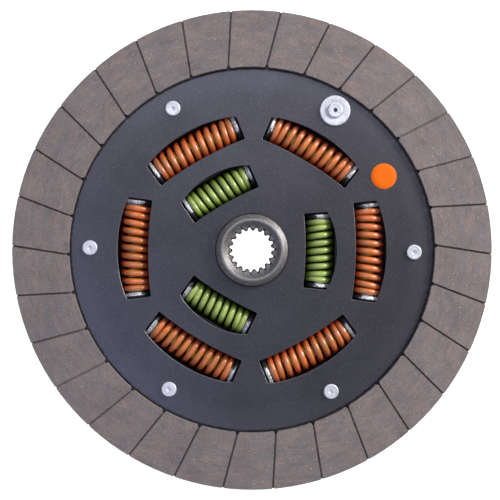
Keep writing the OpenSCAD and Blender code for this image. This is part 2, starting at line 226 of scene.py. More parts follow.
class DiscColours(bpy.types.PropertyGroup):
    """Colours of the disc's finishes"""
    plate: colour("Plate", 0.088, 0.0855, 0.095, "Blackened sheet steel")
    facing: colour("Facing", 0.238, 0.192, 0.172, "Friction lining")
    facing_copper: colour("Facing yarn", 0.31, 0.205, 0.165, "Copper-brown yarn in the lining")
    facing_grey: colour("Facing resin", 0.198, 0.176, 0.168, "Grey resin in the lining")
    # Painted light: the grooves' floors are coloured lighter than the lining to make up for their shade
    groove: colour("Groove", 0.4, 0.36, 0.37, "Dust in the grooves")
    orange: colour("Orange paint", 0.76, 0.2, 0.045, "Paint of the outer springs")
    orange_dark: colour("Rubbed orange", 0.34, 0.15, 0.045, "Rubbed paint of the outer springs")
    # Painted shade of the orange springs below their crest
    orange_shade: colour("Dusty orange", 0.36, 0.035, 0.003, "Paint of the outer springs down in the windows")
    olive: colour("Olive paint", 0.9, 0.66, 0.07, "Paint of the nested springs")
    # Rubbed olive paint, which also serves as the nested springs' painted shade below their crest
    olive_rubbed_and_shade: colour("Rubbed olive", 0.7, 0.42, 0.04, "Rubbed paint of the nested springs")
    green: colour("Green paint", 0.42, 0.54, 0.12, "Paint of the inner springs")
    green_dark: colour("Rubbed green", 0.2, 0.24, 0.06, "Rubbed paint of the inner springs")
    # Painted shade of the green springs below their crest
    green_shade: colour("Dusty green", 0.08, 0.14, 0.01, "Paint of the inner springs down in the windows")
    spring_end: colour("Ground ends", 0.9, 0.88, 0.86, "Bare ground ends of the springs")
    # Painted shade: black for the inner side of the springs' ends, their end rims and down the hub's bore
    painted_shade_black: colour("Oily ends", 0.02, 0.02, 0.022, "Oil on the inner side of the springs' ends")
    hub: colour("Hub", 0.18, 0.17, 0.162, "Phosphated steel of the hub")
    zinc: colour("Zinc", 0.8, 0.8, 0.83, "Zinc plate of pins and weight")
    # Darker colour for the dimples of the pins
    dimple: colour("Dimple", 0.16, 0.165, 0.18, "Dull zinc in the dimples of the pins")
    lining: colour("Washer lining", 0.09, 0.075, 0.065, "Friction washers")
    steel: colour("Washer steel", 0.42, 0.42, 0.44, "Thrust and cone washers")
    sticker: colour("Sticker", 0.95, 0.165, 0.004, "Orange paper")


class StageSizes(bpy.types.PropertyGroup):
    """Camera and light"""
    camera_height: length("Camera height", 645, "Height of the camera above the floor")
    camera_x: length("Camera X", -2, "Sideways place of the camera")
    camera_y: length("Camera Y", 0, "Upward place of the camera in the picture")
    key_light: power("Key light", 21.5, "Power of the main light from the right in watts")
    fill_light: power("Fill light", 3.4, "Power of the light from above in watts")
    side_light: power("Side light", 3.0, "Power of the bluish light from the left in watts")
    sky_light: share("Sky light", 0.22, "Strength of the even light all round")
    aim_x: length("Aim X", -1.37, "Sideways place of the picture's middle on the facing")
    aim_y: length("Aim Y", -0.06, "Upward place of the picture's middle on the facing")
    floor: colour("Floor", 0.8, 0.8, 0.8, "Pale floor under the disc")


GROUPS = {
    "facing_sizes": FacingSizes,
    "plate_sizes": PlateSizes,
    "hub_sizes": HubSizes,
    "spring_sizes": SpringSizes,
    "pin_sizes": PinSizes,
    "disc_colours": DiscColours,
    "stage_sizes": StageSizes,
}


# Mesh helpers


def polar(radius, turn, z=0.0):
    """The point at a distance from the axis, an angle round it and a height"""
    return Vector((radius * math.cos(turn), radius * math.sin(turn), z))


def turns(first, copies):
    """Angles of copies that are spread evenly round the axis"""
    return [first + math.tau * k / copies for k in range(copies)]


def new_object(name, mesh, materials):
    """An object in the scene from a mesh and its materials"""
    for material in materials:
        mesh.materials.append(material)
    piece = bpy.data.objects.new(name, mesh)
    bpy.context.scene.collection.objects.link(piece)
    return piece


def finish_piece(piece, body, nodes):
    """Attaches a finished piece to the body it rides on and hides the solids it stands for"""
    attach(piece, body)
    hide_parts(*nodes)


def mesh_from(name, points, faces, smooth=None):
    """A mesh; smooth tells for each face whether it is shaded smoothly"""
    mesh = bpy.data.meshes.new(name)
    mesh.from_pydata(points, [], faces)
    if smooth is not None:
        mesh.polygons.foreach_set("use_smooth", smooth)
    mesh.update()
    return mesh


def creased(mesh):
    """The mesh shaded smoothly but for its sharp edges"""
    mesh.set_sharp_from_angle(angle=CREASE_ANGLE)
    return mesh


def area_of(loop):
    """Area inside a flat loop, below zero where it runs clockwise"""
    return sum(a.x * b.y - b.x * a.y for a, b in zip(loop, loop[1:] + loop[:1])) / 2


def wound(loop, hole):
    """The loop with its material on the left: outlines run counter-clockwise, holes clockwise"""
    return loop if (area_of(loop) > 0) != hole else loop[::-1]


def inset(loop, depth):
    """The loop moved into the material by depth; at a sharp corner it moves at most twice as far"""
    moved = []
    for before, here, after in zip(loop[-1:] + loop[:-1], loop, loop[1:] + loop[:1]):
        first = (here - before).normalized()
        second = (after - here).normalized()
        side = Vector((-(first.y + second.y), first.x + second.x, 0))
        stretch = max(0.5, side.length_squared / 2)
        moved.append(here + side * depth / stretch)
    return moved


def rounded(corners, radii, steps):
    """The polygon with its corners rounded to the radii"""
    loop = []
    befores, afters = corners[-1:] + corners[:-1], corners[1:] + corners[:1]
    for before, here, after, radius in zip(befores, corners, afters, radii):
        back = (before - here).normalized()
        ahead = (after - here).normalized()
        half = back.angle(ahead) / 2
        reach = radius / math.tan(half)
        centre = here + (back + ahead).normalized() * radius / math.sin(half)
        start = here + back * reach - centre
        end = here + ahead * reach - centre
        turn = start.angle(end)
        for k in range(steps + 1):
            sweep = turn * k / steps
            loop.append(centre + (start * math.sin(turn - sweep) + end * math.sin(sweep)) / math.sin(turn))
    return loop


def quarters(loop):
    """The points of each of a loop's four rounded corners"""
    size = len(loop) // 4
    return [loop[k * size:(k + 1) * size] for k in range(4)]


def slab(name, outline, holes, low, high, edge, steps=2):
    """A flat solid with rounded edges over an outline with holes, between two heights"""
    loops = [wound(outline, False)] + [wound(hole, True) for hole in holes]
    turns = [math.pi / 2 * k / steps for k in range(steps + 1)]
    levels = [(low + edge * (1 - math.sin(t)), edge * (1 - math.cos(t))) for t in reversed(turns)]
    levels += [(high - edge * (1 - math.sin(t)), edge * (1 - math.cos(t))) for t in turns]
    points, faces, smooth, caps = [], [], [], ([], [])
    for loop in loops:
        size = len(loop)
        first = len(points)
        for z, depth in levels:
            points += [Vector((p.x, p.y, z)) for p in inset(loop, depth)]
        for row in range(len(levels) - 1):
            for k in range(size):
                a = first + row * size + k
                b = first + row * size + (k + 1) % size
                faces.append((a, b, b + size, a + size))
                smooth.append(True)
        caps[0].append(range(first, first + size))
        caps[1].append(range(first + (len(levels) - 1) * size, first + len(levels) * size))
    for rings, upward in zip(caps, (False, True)):
        index = [i for ring in rings for i in ring]
        for a, b, c in tessellate_polygon([[points[i] for i in ring] for ring in rings]):
            a, b, c = index[a], index[b], index[c]
            turn = (points[b] - points[a]).cross(points[c] - points[a]).z
            if abs(turn) < NO_AREA:
                continue
            faces.append((a, b, c) if (turn > 0) == upward else (a, c, b))
            smooth.append(False)
    return mesh_from(name, points, faces, smooth)


def circle_loop(radius, steps, centre=ORIGIN):
    """A circle's points"""
    return [centre + polar(radius, turn) for turn in turns(0.0, steps)]


def turned(name, section, steps, centre=ORIGIN, closed=False):
    """A solid of revolution; the section's points are (radius, height), from the bottom up"""
    points, faces = [], []
    rings = []
    for radius, z in section:
        if radius < ON_AXIS:
            rings.append([len(points)])
            points.append(centre + Vector((0, 0, z)))
        else:
            rings.append(list(range(len(points), len(points) + steps)))
            points += [centre + polar(radius, math.tau * k / steps, z) for k in range(steps)]
    pairs = list(zip(rings, rings[1:]))
    if closed:
        pairs.append((rings[-1], rings[0]))
    for lower, upper in pairs:
        for k in range(steps):
            n = (k + 1) % steps
            if len(lower) == 1:
                faces.append((lower[0], upper[n], upper[k]))
            elif len(upper) == 1:
                faces.append((lower[k], lower[n], upper[0]))
            else:
                faces.append((lower[k], lower[n], upper[n], upper[k]))
    return creased(mesh_from(name, points, faces, [True] * len(faces)))


def arc_section(centre, radius, start, end, steps):
    """Points (radius, height) along an arc of a section"""
    turns = [math.radians(start + (end - start) * k / steps) for k in range(steps + 1)]
    return [(centre[0] + radius * math.cos(t), centre[1] + radius * math.sin(t)) for t in turns]


def joined(name, pieces):
    """One object from several; the first keeps its name and materials"""
    work = bmesh.new()
    for piece in pieces:
        work.from_mesh(piece.data)
    mesh = bpy.data.meshes.new(name)
    work.to_mesh(mesh)
    work.free()
    materials = [m for m in pieces[0].data.materials]
    for piece in pieces:
        bpy.data.objects.remove(piece)
    return new_object(name, mesh, materials)


# Node trees


class NodeWork:
    """Adds nodes to a tree; an input takes a plain value or another node's output"""

    def __init__(self, tree):
        self.nodes = tree.nodes
        self.links = tree.links

    def plug(self, target, source):
        """Sets an input to a value, or links an output to it"""
        if isinstance(source, bpy.types.NodeSocket):
            self.links.new(source, target)
        else:
            target.default_value = source

    def node(self, kind, sockets=None, **settings):
        """A node; sockets maps its inputs to values or to other nodes' outputs"""
        made = self.nodes.new(kind)
        for key, setting in settings.items():
            setattr(made, key, setting)
        for key, source in (sockets or {}).items():
            self.plug(made.inputs[key], source)
        return made

    def calc(self, operation, *values, clamp=False):
        """The output of a Math node that works on the values"""
        made = self.node("ShaderNodeMath", dict(enumerate(values)), operation=operation, use_clamp=clamp)
        return made.outputs[0]

    def combine(self, *values):
        """A vector from its X, Y and Z"""
        return self.node("ShaderNodeCombineXYZ", dict(enumerate(values))).outputs[0]


class Tree(NodeWork):
    """A Geometry Nodes tree with named inputs"""

    KINDS = {"float": "NodeSocketFloat", "int": "NodeSocketInt", "material": "NodeSocketMaterial",
             "geometry": "NodeSocketGeometry"}

    def __init__(self, name, **inputs):
        self.group = bpy.data.node_groups.new(name, "GeometryNodeTree")
        super().__init__(self.group)
        self.sockets = {}
        for label, kind in inputs.items():
            plain = label.replace("_", " ").capitalize()
            item = self.group.interface.new_socket(plain, in_out="INPUT", socket_type=self.KINDS[kind])
            self.sockets[label] = (item.identifier, plain)
        self.group.interface.new_socket("Geometry", in_out="OUTPUT", socket_type="NodeSocketGeometry")
        self.entry = self.nodes.new("NodeGroupInput")
        self.exit = self.nodes.new("NodeGroupOutput")

    def value(self, label):
        """The output that carries one of the tree's inputs"""
        return self.entry.outputs[self.sockets[label][1]]

    def close(self, geometry):
        """Ends the tree in Realize Instances and Set Material"""
        real = self.node("GeometryNodeRealizeInstances", {"Geometry": geometry}).outputs[0]
        painted = self.node("GeometryNodeSetMaterial", {"Geometry": real, "Material": self.value("material")})
        self.links.new(painted.outputs[0], self.exit.inputs[0])


def ring_tree():
    """Repeats a piece round the disc's axis, each copy with a turn of its own from a fixed seed"""
    tree = Tree("Copies round the axis", geometry="geometry", copies="int", first_angle="float",
                distance="float", loose_turn="float", seed="int", material="material")
    index = tree.node("GeometryNodeInputIndex").outputs[0]
    step = tree.calc("DIVIDE", math.tau, tree.value("copies"))
    turn = tree.calc("MULTIPLY_ADD", index, step, tree.value("first_angle"))
    x = tree.calc("MULTIPLY", tree.calc("COSINE", turn), tree.value("distance"))
    y = tree.calc("MULTIPLY", tree.calc("SINE", turn), tree.value("distance"))
    points = tree.node("GeometryNodePoints", {
        "Count": tree.value("copies"), "Position": tree.combine(x, y)}).outputs[0]
    random = tree.node("FunctionNodeRandomValue", {"Seed": tree.value("seed")}, data_type="FLOAT")
    spin = tree.calc("MULTIPLY_ADD", random.outputs[1], tree.value("loose_turn"), turn)
    copies = tree.node("GeometryNodeInstanceOnPoints", {
        "Points": points, "Instance": tree.value("geometry"), "Rotation": tree.combine(0.0, 0.0, spin)})
    tree.close(copies.outputs[0])
    return tree


STEPS_PER_HALF = 14  # Points along half a coil
WIRE_SIDES = 14      # Points round the wire
END_HALVES = 3.0     # Half coils at each end that lie closed or lead in to the open coils


def coil_tree():
    """A coil spring with closed ends, wound round an arc about the disc's axis"""
    tree = Tree("Coil spring", geometry="geometry", half_coils="int", wire_radius="float",
                coil_radius="float", spring_length="float", closed_gap="float", lead_in="float",
                hand="float", bow="float", row="float", angle="float", height="float",
                material="material")
    calc = tree.calc
    halves, lead_in, bow = tree.value("half_coils"), tree.value("lead_in"), tree.value("bow")
    coil_radius = tree.value("coil_radius")
    wire = calc("MULTIPLY", tree.value("wire_radius"), 2.0)
    closed = calc("ADD", wire, tree.value("closed_gap"))
    between_ends = calc("SUBTRACT", tree.value("spring_length"), wire)
    index = tree.node("GeometryNodeInputIndex").outputs[0]
    k = calc("DIVIDE", index, float(STEPS_PER_HALF))
    near_end = calc("MINIMUM", k, calc("SUBTRACT", halves, k))
    both_ends = calc("MULTIPLY", calc("ADD", closed, lead_in), 2.0)
    open_length = calc("SUBTRACT", between_ends, both_ends)
    pitch = calc("DIVIDE", open_length, calc("SUBTRACT", halves, 2 * END_HALVES))
    advance = calc("MULTIPLY", closed, calc("SUBTRACT", near_end, 1.0, clamp=True))
    advance = calc("MULTIPLY_ADD", lead_in, calc("SUBTRACT", near_end, 2.0, clamp=True), advance)
    open_halves = calc("MAXIMUM", calc("SUBTRACT", near_end, END_HALVES), 0.0)
    advance = calc("MULTIPLY_ADD", pitch, open_halves, advance)
    from_middle = calc("SUBTRACT", calc("MULTIPLY", between_ends, 0.5), advance)
    side = calc("SIGN", calc("SUBTRACT", calc("MULTIPLY", k, 2.0), halves))
    along = calc("DIVIDE", calc("MULTIPLY", from_middle, side), bow)
    phase = calc("MULTIPLY", k, math.pi)
    inward = calc("MULTIPLY", tree.value("hand"), -1.0)
    outward = calc("MULTIPLY", calc("MULTIPLY", calc("COSINE", phase), coil_radius), inward)
    reach = calc("ADD", bow, outward)
    bow_centre = calc("SUBTRACT", tree.value("row"), bow)
    x = calc("ADD", calc("MULTIPLY", reach, calc("COSINE", along)), bow_centre)
    y = calc("MULTIPLY", reach, calc("SINE", along))
    z = calc("MULTIPLY_ADD", calc("SINE", phase), coil_radius, tree.value("height"))
    line = tree.node("GeometryNodeCurvePrimitiveLine").outputs[0]
    dots = calc("MULTIPLY_ADD", halves, float(STEPS_PER_HALF), 1.0)
    line = tree.node("GeometryNodeResampleCurve", {"Curve": line, "Count": dots}).outputs[0]
    place = tree.combine(x, y, z)
    path = tree.node("GeometryNodeSetPosition", {"Geometry": line, "Position": place}).outputs[0]
    wire_round = tree.node("GeometryNodeCurvePrimitiveCircle", {
        "Resolution": WIRE_SIDES, "Radius": tree.value("wire_radius")}, mode="RADIUS").outputs[0]
    coil = tree.node("GeometryNodeCurveToMesh", {
        "Curve": path, "Profile Curve": wire_round, "Fill Caps": True}).outputs[0]
    coil = tree.node("GeometryNodeSetShadeSmooth", {"Geometry": coil}).outputs[0]
    turn = tree.combine(0.0, 0.0, tree.value("angle"))
    coil = tree.node("GeometryNodeTransform", {"Geometry": coil, "Rotation": turn}).outputs[0]
    tree.close(coil)
    return tree


def grown(name, start, tree, **values):
    """A plain mesh object from a Geometry Nodes tree run on the start mesh"""
    seedling = bpy.data.objects.new(name + ".start", start)
    bpy.context.scene.collection.objects.link(seedling)
    modifier = seedling.modifiers.new("Nodes", "NODES")
    modifier.node_group = tree.group
    for label, value in values.items():
        modifier[tree.sockets[label][0]] = value
    bpy.context.view_layer.update()
    evaluated = seedling.evaluated_get(bpy.context.evaluated_depsgraph_get())
    mesh = bpy.data.meshes.new_from_object(evaluated)
    bpy.data.objects.remove(seedling)
    mesh.name = name
    piece = bpy.data.objects.new(name, mesh)
    bpy.context.scene.collection.objects.link(piece)
    return piece


# Materials: a noise's scale is its waves a metre, followed by its detail and roughness


class Finish(NodeWork):
    """A node-based material; every pattern is laid out on Object coordinates, in metres"""

    def __init__(self, name):
        self.material = bpy.data.materials.new(name)
        self.material.use_nodes = True
        super().__init__(self.material.node_tree)
        self.shader = self.nodes["Principled BSDF"]
        self.place = self.nodes.new("ShaderNodeTexCoord").outputs["Object"]

    def noise(self, scale, detail=3.0, rough=0.55, place=None, distortion=0.0):
        """Noise with so many waves a metre"""
        made = self.node("ShaderNodeTexNoise", {
            "Vector": place or self.place, "Scale": scale, "Detail": detail, "Roughness": rough,
            "Distortion": distortion})
        return made.outputs["Fac"]

    def mapped(self, place, shift=(0.0, 0.0, 0.0), turn=0.0, stretch=1.0):
        """Coordinates moved, turned about Z and stretched along Y"""
        made = self.node("ShaderNodeMapping", {
            0: place, 1: shift, 2: (0.0, 0.0, turn), 3: (1.0, stretch, 1.0)})
        return made.outputs[0]

    def spread(self, source, low, high, start=0.0, end=1.0):
        """The source's range from low to high stretched over start to end"""
        return self.node("ShaderNodeMapRange", {0: source, 1: low, 2: high, 3: start, 4: end}).outputs[0]

    def mix(self, part, first, second, blend="MIX"):
        """The first colour with its part of the second"""
        made = self.nodes.new("ShaderNodeMix")
        made.data_type = "RGBA"
        made.blend_type = blend
        self.plug(made.inputs[0], part)
        self.plug(made.inputs[6], first)
        self.plug(made.inputs[7], second)
        return made.outputs[2]

    def bump(self, height, distance, strength):
        """Raises the surface by the height's pattern"""
        made = self.node("ShaderNodeBump", {"Height": height, "Distance": distance, "Strength": strength})
        self.links.new(made.outputs[0], self.shader.inputs["Normal"])

    def set(self, **values):
        """Sets or links the shader's inputs, which are named in lower case"""
        for key, value in values.items():
            label = key.replace("_", " ").title().replace("Ior", "IOR")
            self.plug(self.shader.inputs[label], value)


def rgba(colour_value, scale=1.0):
    """A colour for a node's input, made lighter or darker by the scale"""
    return (colour_value[0] * scale, colour_value[1] * scale, colour_value[2] * scale, 1.0)


def round_axis(finish):
    """Distance from the disc's axis, angle round it and height"""
    x, y, z = finish.node("ShaderNodeSeparateXYZ", {0: finish.place}).outputs
    squares = finish.calc("ADD", finish.calc("MULTIPLY", x, x), finish.calc("MULTIPLY", y, y))
    return finish.calc("SQRT", squares), finish.calc("ARCTAN2", y, x), z


def lathe_lines(finish, density, around):
    """The fine rings that a lathe leaves about the disc's axis, so many a metre"""
    radius, turn, z = round_axis(finish)
    place = finish.combine(finish.calc("MULTIPLY", radius, density), finish.calc("MULTIPLY", z, density),
                           finish.calc("MULTIPLY", turn, around))
    return finish.noise(1.0, 2.0, 0.6, place)


def blackened_steel(colours):
    """Thin black coat on rolled sheet: specked and worn bright on its edges, with a painted sheen towards the
    facing and painted shade at the facing's foot
    """
    finish = Finish("blackened sheet steel")
    radius, _, height = round_axis(finish)
    cloud = finish.noise(26.0, 3.0)
    grain = finish.noise(1500.0, 2.0, 0.6)
    base = finish.mix(finish.spread(cloud, 0.35, 0.65), rgba(colours.plate, 0.9), rgba(colours.plate, 1.1))
    specks = finish.spread(finish.noise(760.0, 2.0, 0.6), 0.56, 0.72, 0.0, 0.3)
    base = finish.mix(specks, base, rgba((0.24, 0.24, 0.26)))
    hollows = finish.spread(finish.noise(640.0, 2.0, 0.6), 0.38, 0.28, 0.0, 0.5)
    base = finish.mix(hollows, base, rgba(colours.plate, 0.4))
    ragged = finish.calc("ADD", radius, finish.calc("MULTIPLY", finish.noise(420.0, 2.0), 2.4 * MM))
    edge = bpy.context.scene.facing_sizes.inner_radius
    # Painted sheen: the plate is lightened towards the facing, where it would reflect a lamp
    painted_sheen_rim = finish.spread(ragged, edge - 18 * MM, edge - 8 * MM, 0.0, 0.16)
    base = finish.mix(painted_sheen_rim, base, rgba(colours.plate, 2.0))
    # Painted shade: a thin dark band where the plate meets the facing's inner edge
    facing_foot_shade = finish.spread(ragged, edge - 0.5 * MM, edge + 0.2 * MM)
    base = finish.mix(facing_foot_shade, base, rgba(colours.plate, 0.4))
    top = PLATE_TOP * MM
    below_face = finish.spread(height, top - 0.02 * MM, top - 0.04 * MM, 0.0, 0.6)
    above_wall = finish.spread(height, top - 0.34 * MM, top - 0.3 * MM)
    base = finish.mix(finish.calc("MULTIPLY", below_face, above_wall), base, rgba(colours.steel))
    finish.set(base_color=base, metallic=0.8, roughness=finish.spread(grain, 0.3, 0.7, 0.36, 0.44))
    finish.bump(grain, 0.06 * MM, 0.5)
    return finish.material


def lining(colours):
    """Moulded friction lining with swirls of yarn and bright flecks"""
    finish = Finish("friction lining")
    radius, turn, height = round_axis(finish)
    facing_middle = 145 * MM
    swirl = finish.combine(radius, finish.calc("MULTIPLY", turn, facing_middle), height)
    lean = finish.mapped(swirl, turn=0.75, stretch=0.35)
    counter = finish.mapped(swirl, turn=-0.85, stretch=0.4)
    patch = finish.noise(150.0, 3.0, 0.6, lean, 0.8)
    yarn = finish.noise(330.0, 3.0, 0.6, lean, 0.8)
    cross = finish.noise(360.0, 3.0, 0.6, counter, 0.8)
    cloud = finish.noise(75.0, 3.0, 0.6)
    grain = finish.noise(1000.0, 2.0, 0.6)
    base = finish.mix(finish.spread(patch, 0.4, 0.6), rgba(colours.facing), rgba(colours.facing_grey))
    base = finish.mix(finish.spread(yarn, 0.5, 0.68, 0.0, 0.6), base, rgba(colours.facing_copper))
    base = finish.mix(finish.spread(cross, 0.5, 0.68, 0.0, 0.5), base, rgba(colours.facing_grey, 0.75))
    rough = finish.calc("ADD", finish.calc("MULTIPLY", grain, 0.6), finish.calc("MULTIPLY", cloud, 0.4))
    tone = finish.spread(rough, 0.35, 0.65, 0.78, 1.22)
    grey = finish.node("ShaderNodeCombineColor", {0: tone, 1: tone, 2: tone}).outputs[0]
    base = finish.mix(1.0, base, grey, "MULTIPLY")
    flecks = finish.spread(finish.noise(900.0, 1.0, 0.5), 0.7, 0.76, 0.0, 0.7)
    base = finish.mix(flecks, base, rgba((0.55, 0.46, 0.4)))
    finish.set(base_color=base, roughness=finish.spread(cloud, 0.3, 0.7, 0.78, 0.92), specular_ior_level=0.3)
    finish.bump(finish.calc("ADD", yarn, finish.calc("MULTIPLY", grain, 0.5)), 0.14 * MM, 0.8)
    return finish.material


def lightened_floor(colours):
    """Colour of the grooves' floors, lighter than the lining: painted light against the shade in the narrow
    grooves
    """
    finish = Finish("groove dust")
    grain = finish.noise(1200.0, 3.0, 0.7)
    base = finish.mix(finish.spread(grain, 0.3, 0.7), rgba(colours.groove, 0.4), rgba(colours.groove, 1.4))
    finish.set(base_color=base, roughness=0.95, specular_ior_level=0.1)
    finish.bump(grain, 0.1 * MM, 0.8)
    return finish.material


def wire_paint(name, paint, rubbed, deep, spring, shift):
    """Glossy paint on spring wire, thin and rubbed in places, with painted shade below the coils' crest where
    its coat also fades
    """
    finish = Finish(name)
    moved = finish.mapped(finish.place, shift=(shift, shift * 0.7, 0.0))
    patch = finish.noise(62.0, 2.0, 0.5, moved)
    cloud = finish.noise(260.0, 4.0, 0.65, moved)
    grain = finish.noise(1100.0, 2.0, 0.6, moved)
    base = finish.mix(finish.spread(cloud, 0.3, 0.7), rgba(paint, 0.8), rgba(paint, 1.15))
    worn_patch, worn_spots = finish.spread(patch, 0.42, 0.66), finish.spread(cloud, 0.35, 0.62, 0.35, 0.8)
    base = finish.mix(finish.calc("MULTIPLY", worn_patch, worn_spots), base, rgba(rubbed))
    # Painted shade: below the crest the paint turns to the shade colour and the coat fades
    height = round_axis(finish)[2]
    crest = level(spring, 1) * MM
    unshaded = finish.spread(height, crest - 4.6 * MM, crest - 0.3 * MM)
    base = finish.mix(unshaded, rgba(deep), base)
    finish.set(base_color=base, specular_ior_level=0.5, coat_roughness=0.2)
    finish.set(coat_weight=finish.calc("MULTIPLY", unshaded, 0.8))
    finish.set(roughness=finish.spread(grain, 0.3, 0.7, 0.3, 0.46))
    finish.bump(grain, 0.05 * MM, 0.6)
    return finish.material


def bare_steel(name, tint, smooth, dull, rings=0.0, shine=1.0):
    """Bare metal, its roughness from smooth to dull; rings adds the lines of a lathe"""
    finish = Finish(name)
    cloud = finish.noise(210.0, 4.0, 0.6)
    height = finish.noise(1700.0, 3.0, 0.6)
    base = finish.mix(finish.spread(cloud, 0.3, 0.7), rgba(tint, 0.72), rgba(tint, 1.15))
    if rings:
        lines = lathe_lines(finish, 3200.0, 0.0)
        height = finish.calc("ADD", height, finish.calc("MULTIPLY", lines, rings))
    finish.set(base_color=base, metallic=shine, roughness=finish.spread(cloud, 0.3, 0.7, smooth, dull))
    finish.bump(height, 0.04 * MM, 0.6)
    return finish.material


def speckled_zinc(colours):
    """Bright zinc with small dull specks"""
    finish = Finish("bright zinc")
    spots = finish.noise(950.0, 2.0, 0.7)
    cloud = finish.noise(300.0, 3.0, 0.6)
    base = finish.mix(finish.spread(cloud, 0.3, 0.7), rgba(colours.zinc, 0.84), rgba(colours.zinc, 1.08))
    base = finish.mix(finish.spread(spots, 0.44, 0.34, 0.0, 0.7), base, rgba(colours.zinc, 0.42))
    finish.set(base_color=base, metallic=0.25, roughness=finish.spread(cloud, 0.3, 0.7, 0.3, 0.45))
    finish.bump(spots, 0.05 * MM, 0.6)
    return finish.material


def phosphated_steel(colours):
    """Dull turned steel with a painted highlight on its end face and painted shade down the bore and on the
    flange
    """
    finish = Finish("hub steel")
    radius, _, z = round_axis(finish)
    lathe = lathe_lines(finish, 2600.0, 3.0)
    spots = finish.noise(1150.0, 3.0, 0.7)
    base = finish.mix(finish.spread(lathe, 0.3, 0.7), rgba(colours.hub, 0.75), rgba(colours.hub, 1.2))
    base = finish.mix(finish.spread(spots, 0.54, 0.64, 0.0, 0.7), base, rgba(colours.hub, 2.6))
    base = finish.mix(finish.spread(spots, 0.42, 0.3, 0.0, 0.6), base, rgba(colours.hub, 0.3))
    top = HUB_TOP * MM
    # Painted shade: the bore is painted near black below its mouth
    deep = finish.spread(z, top - 3.4 * MM, top - 4.4 * MM)
    bore = finish.spread(radius, 20.6 * MM, 20.4 * MM)
    base = finish.mix(finish.calc("MULTIPLY", deep, bore), base, rgba(colours.painted_shade_black, 1.5))
    # Painted highlight: the end face is lightened as if it caught the light
    rubbed = finish.spread(z, top - 0.4 * MM, top - 0.1 * MM, 0.0, 0.6)
    base = finish.mix(rubbed, base, rgba(colours.hub, 2.0))
    # Painted shade: the flange, which shows between the springs' coils, is painted near black
    flange = finish.spread(radius, 27 * MM, 28 * MM)
    base = finish.mix(flange, base, rgba(colours.hub, 0.18))
    finish.set(base_color=base, metallic=0.7, roughness=finish.spread(spots, 0.3, 0.7, 0.42, 0.58))
    finish.bump(finish.calc("ADD", spots, lathe), 0.06 * MM, 0.7)
    return finish.material


def ground_steel(name, colours, split):
    """Ground spring end: bright and scratched outside the split radius, black inside it as painted shade"""
    finish = Finish(name)
    spots = finish.noise(1100.0, 3.0, 0.7)
    cloud = finish.noise(420.0, 3.0, 0.6)
    scratched, shiny = rgba(colours.spring_end, 0.25), rgba(colours.spring_end)
    bright = finish.mix(finish.spread(spots, 0.42, 0.56), scratched, shiny)
    # Painted shade: inside the split radius the end is painted black
    wander = finish.calc("MULTIPLY", finish.calc("SUBTRACT", cloud, 0.5), 9 * MM)
    ragged = finish.calc("ADD", round_axis(finish)[0], wander)
    unshaded = finish.spread(ragged, split - 1.2 * MM, split + 1.2 * MM)
    base = finish.mix(unshaded, rgba(colours.painted_shade_black), bright)
    finish.set(base_color=base, metallic=0.35, roughness=finish.spread(spots, 0.3, 0.7, 0.3, 0.5))
    finish.bump(spots, 0.1 * MM, 0.8)
    return finish.material


def paper(colours):
    """Orange paper with a faint fibre"""
    finish = Finish("orange paper")
    fibre = finish.noise(900.0, 4.0, 0.7)
    light, dark = rgba(colours.sticker, 1.04), rgba(colours.sticker, 0.93)
    base = finish.mix(finish.spread(fibre, 0.35, 0.65), dark, light)
    finish.set(base_color=base, roughness=finish.spread(fibre, 0.3, 0.7, 0.6, 0.75), specular_ior_level=0.15)
    finish.bump(fibre, 0.02 * MM, 0.4)
    return finish.material


def pale_floor(tint, shine, reach, bore):
    """Floor that shows near white round the disc and through its bore and keeps the shadow; under the disc it
    is darkened further by a painted shadow
    """
    finish = Finish("pale floor")
    rays = finish.node("ShaderNodeLightPath").outputs
    mirrored = finish.calc("MAXIMUM", rays["Is Glossy Ray"], rays["Is Transmission Ray"])
    seen = finish.calc("MAXIMUM", rays["Is Camera Ray"], mirrored)
    radius = round_axis(finish)[0]
    outside = finish.calc("MULTIPLY", finish.spread(radius, reach * 0.95, reach * 1.03), seen)
    through_bore = finish.spread(radius, bore * 1.4, bore * 1.2, 0.0, 1.25)
    inside = finish.calc("MULTIPLY", through_bore, rays["Is Camera Ray"])
    strength = finish.calc("MULTIPLY", finish.calc("MAXIMUM", outside, inside), shine)
    glow = finish.node("ShaderNodeEmission", {"Strength": strength}).outputs[0]
    # Painted shadow: the floor is darkened under the disc
    under = finish.spread(radius, reach * 0.9, reach * 0.6)
    shaded = finish.mix(under, rgba(tint), rgba(tint, 0.15))
    matte = finish.node("ShaderNodeBsdfDiffuse", {"Color": shaded}).outputs[0]
    both = finish.node("ShaderNodeAddShader", {0: glow, 1: matte}).outputs[0]
    finish.links.new(both, finish.nodes["Material Output"].inputs["Surface"])
    finish.nodes.remove(finish.shader)
    return finish.material


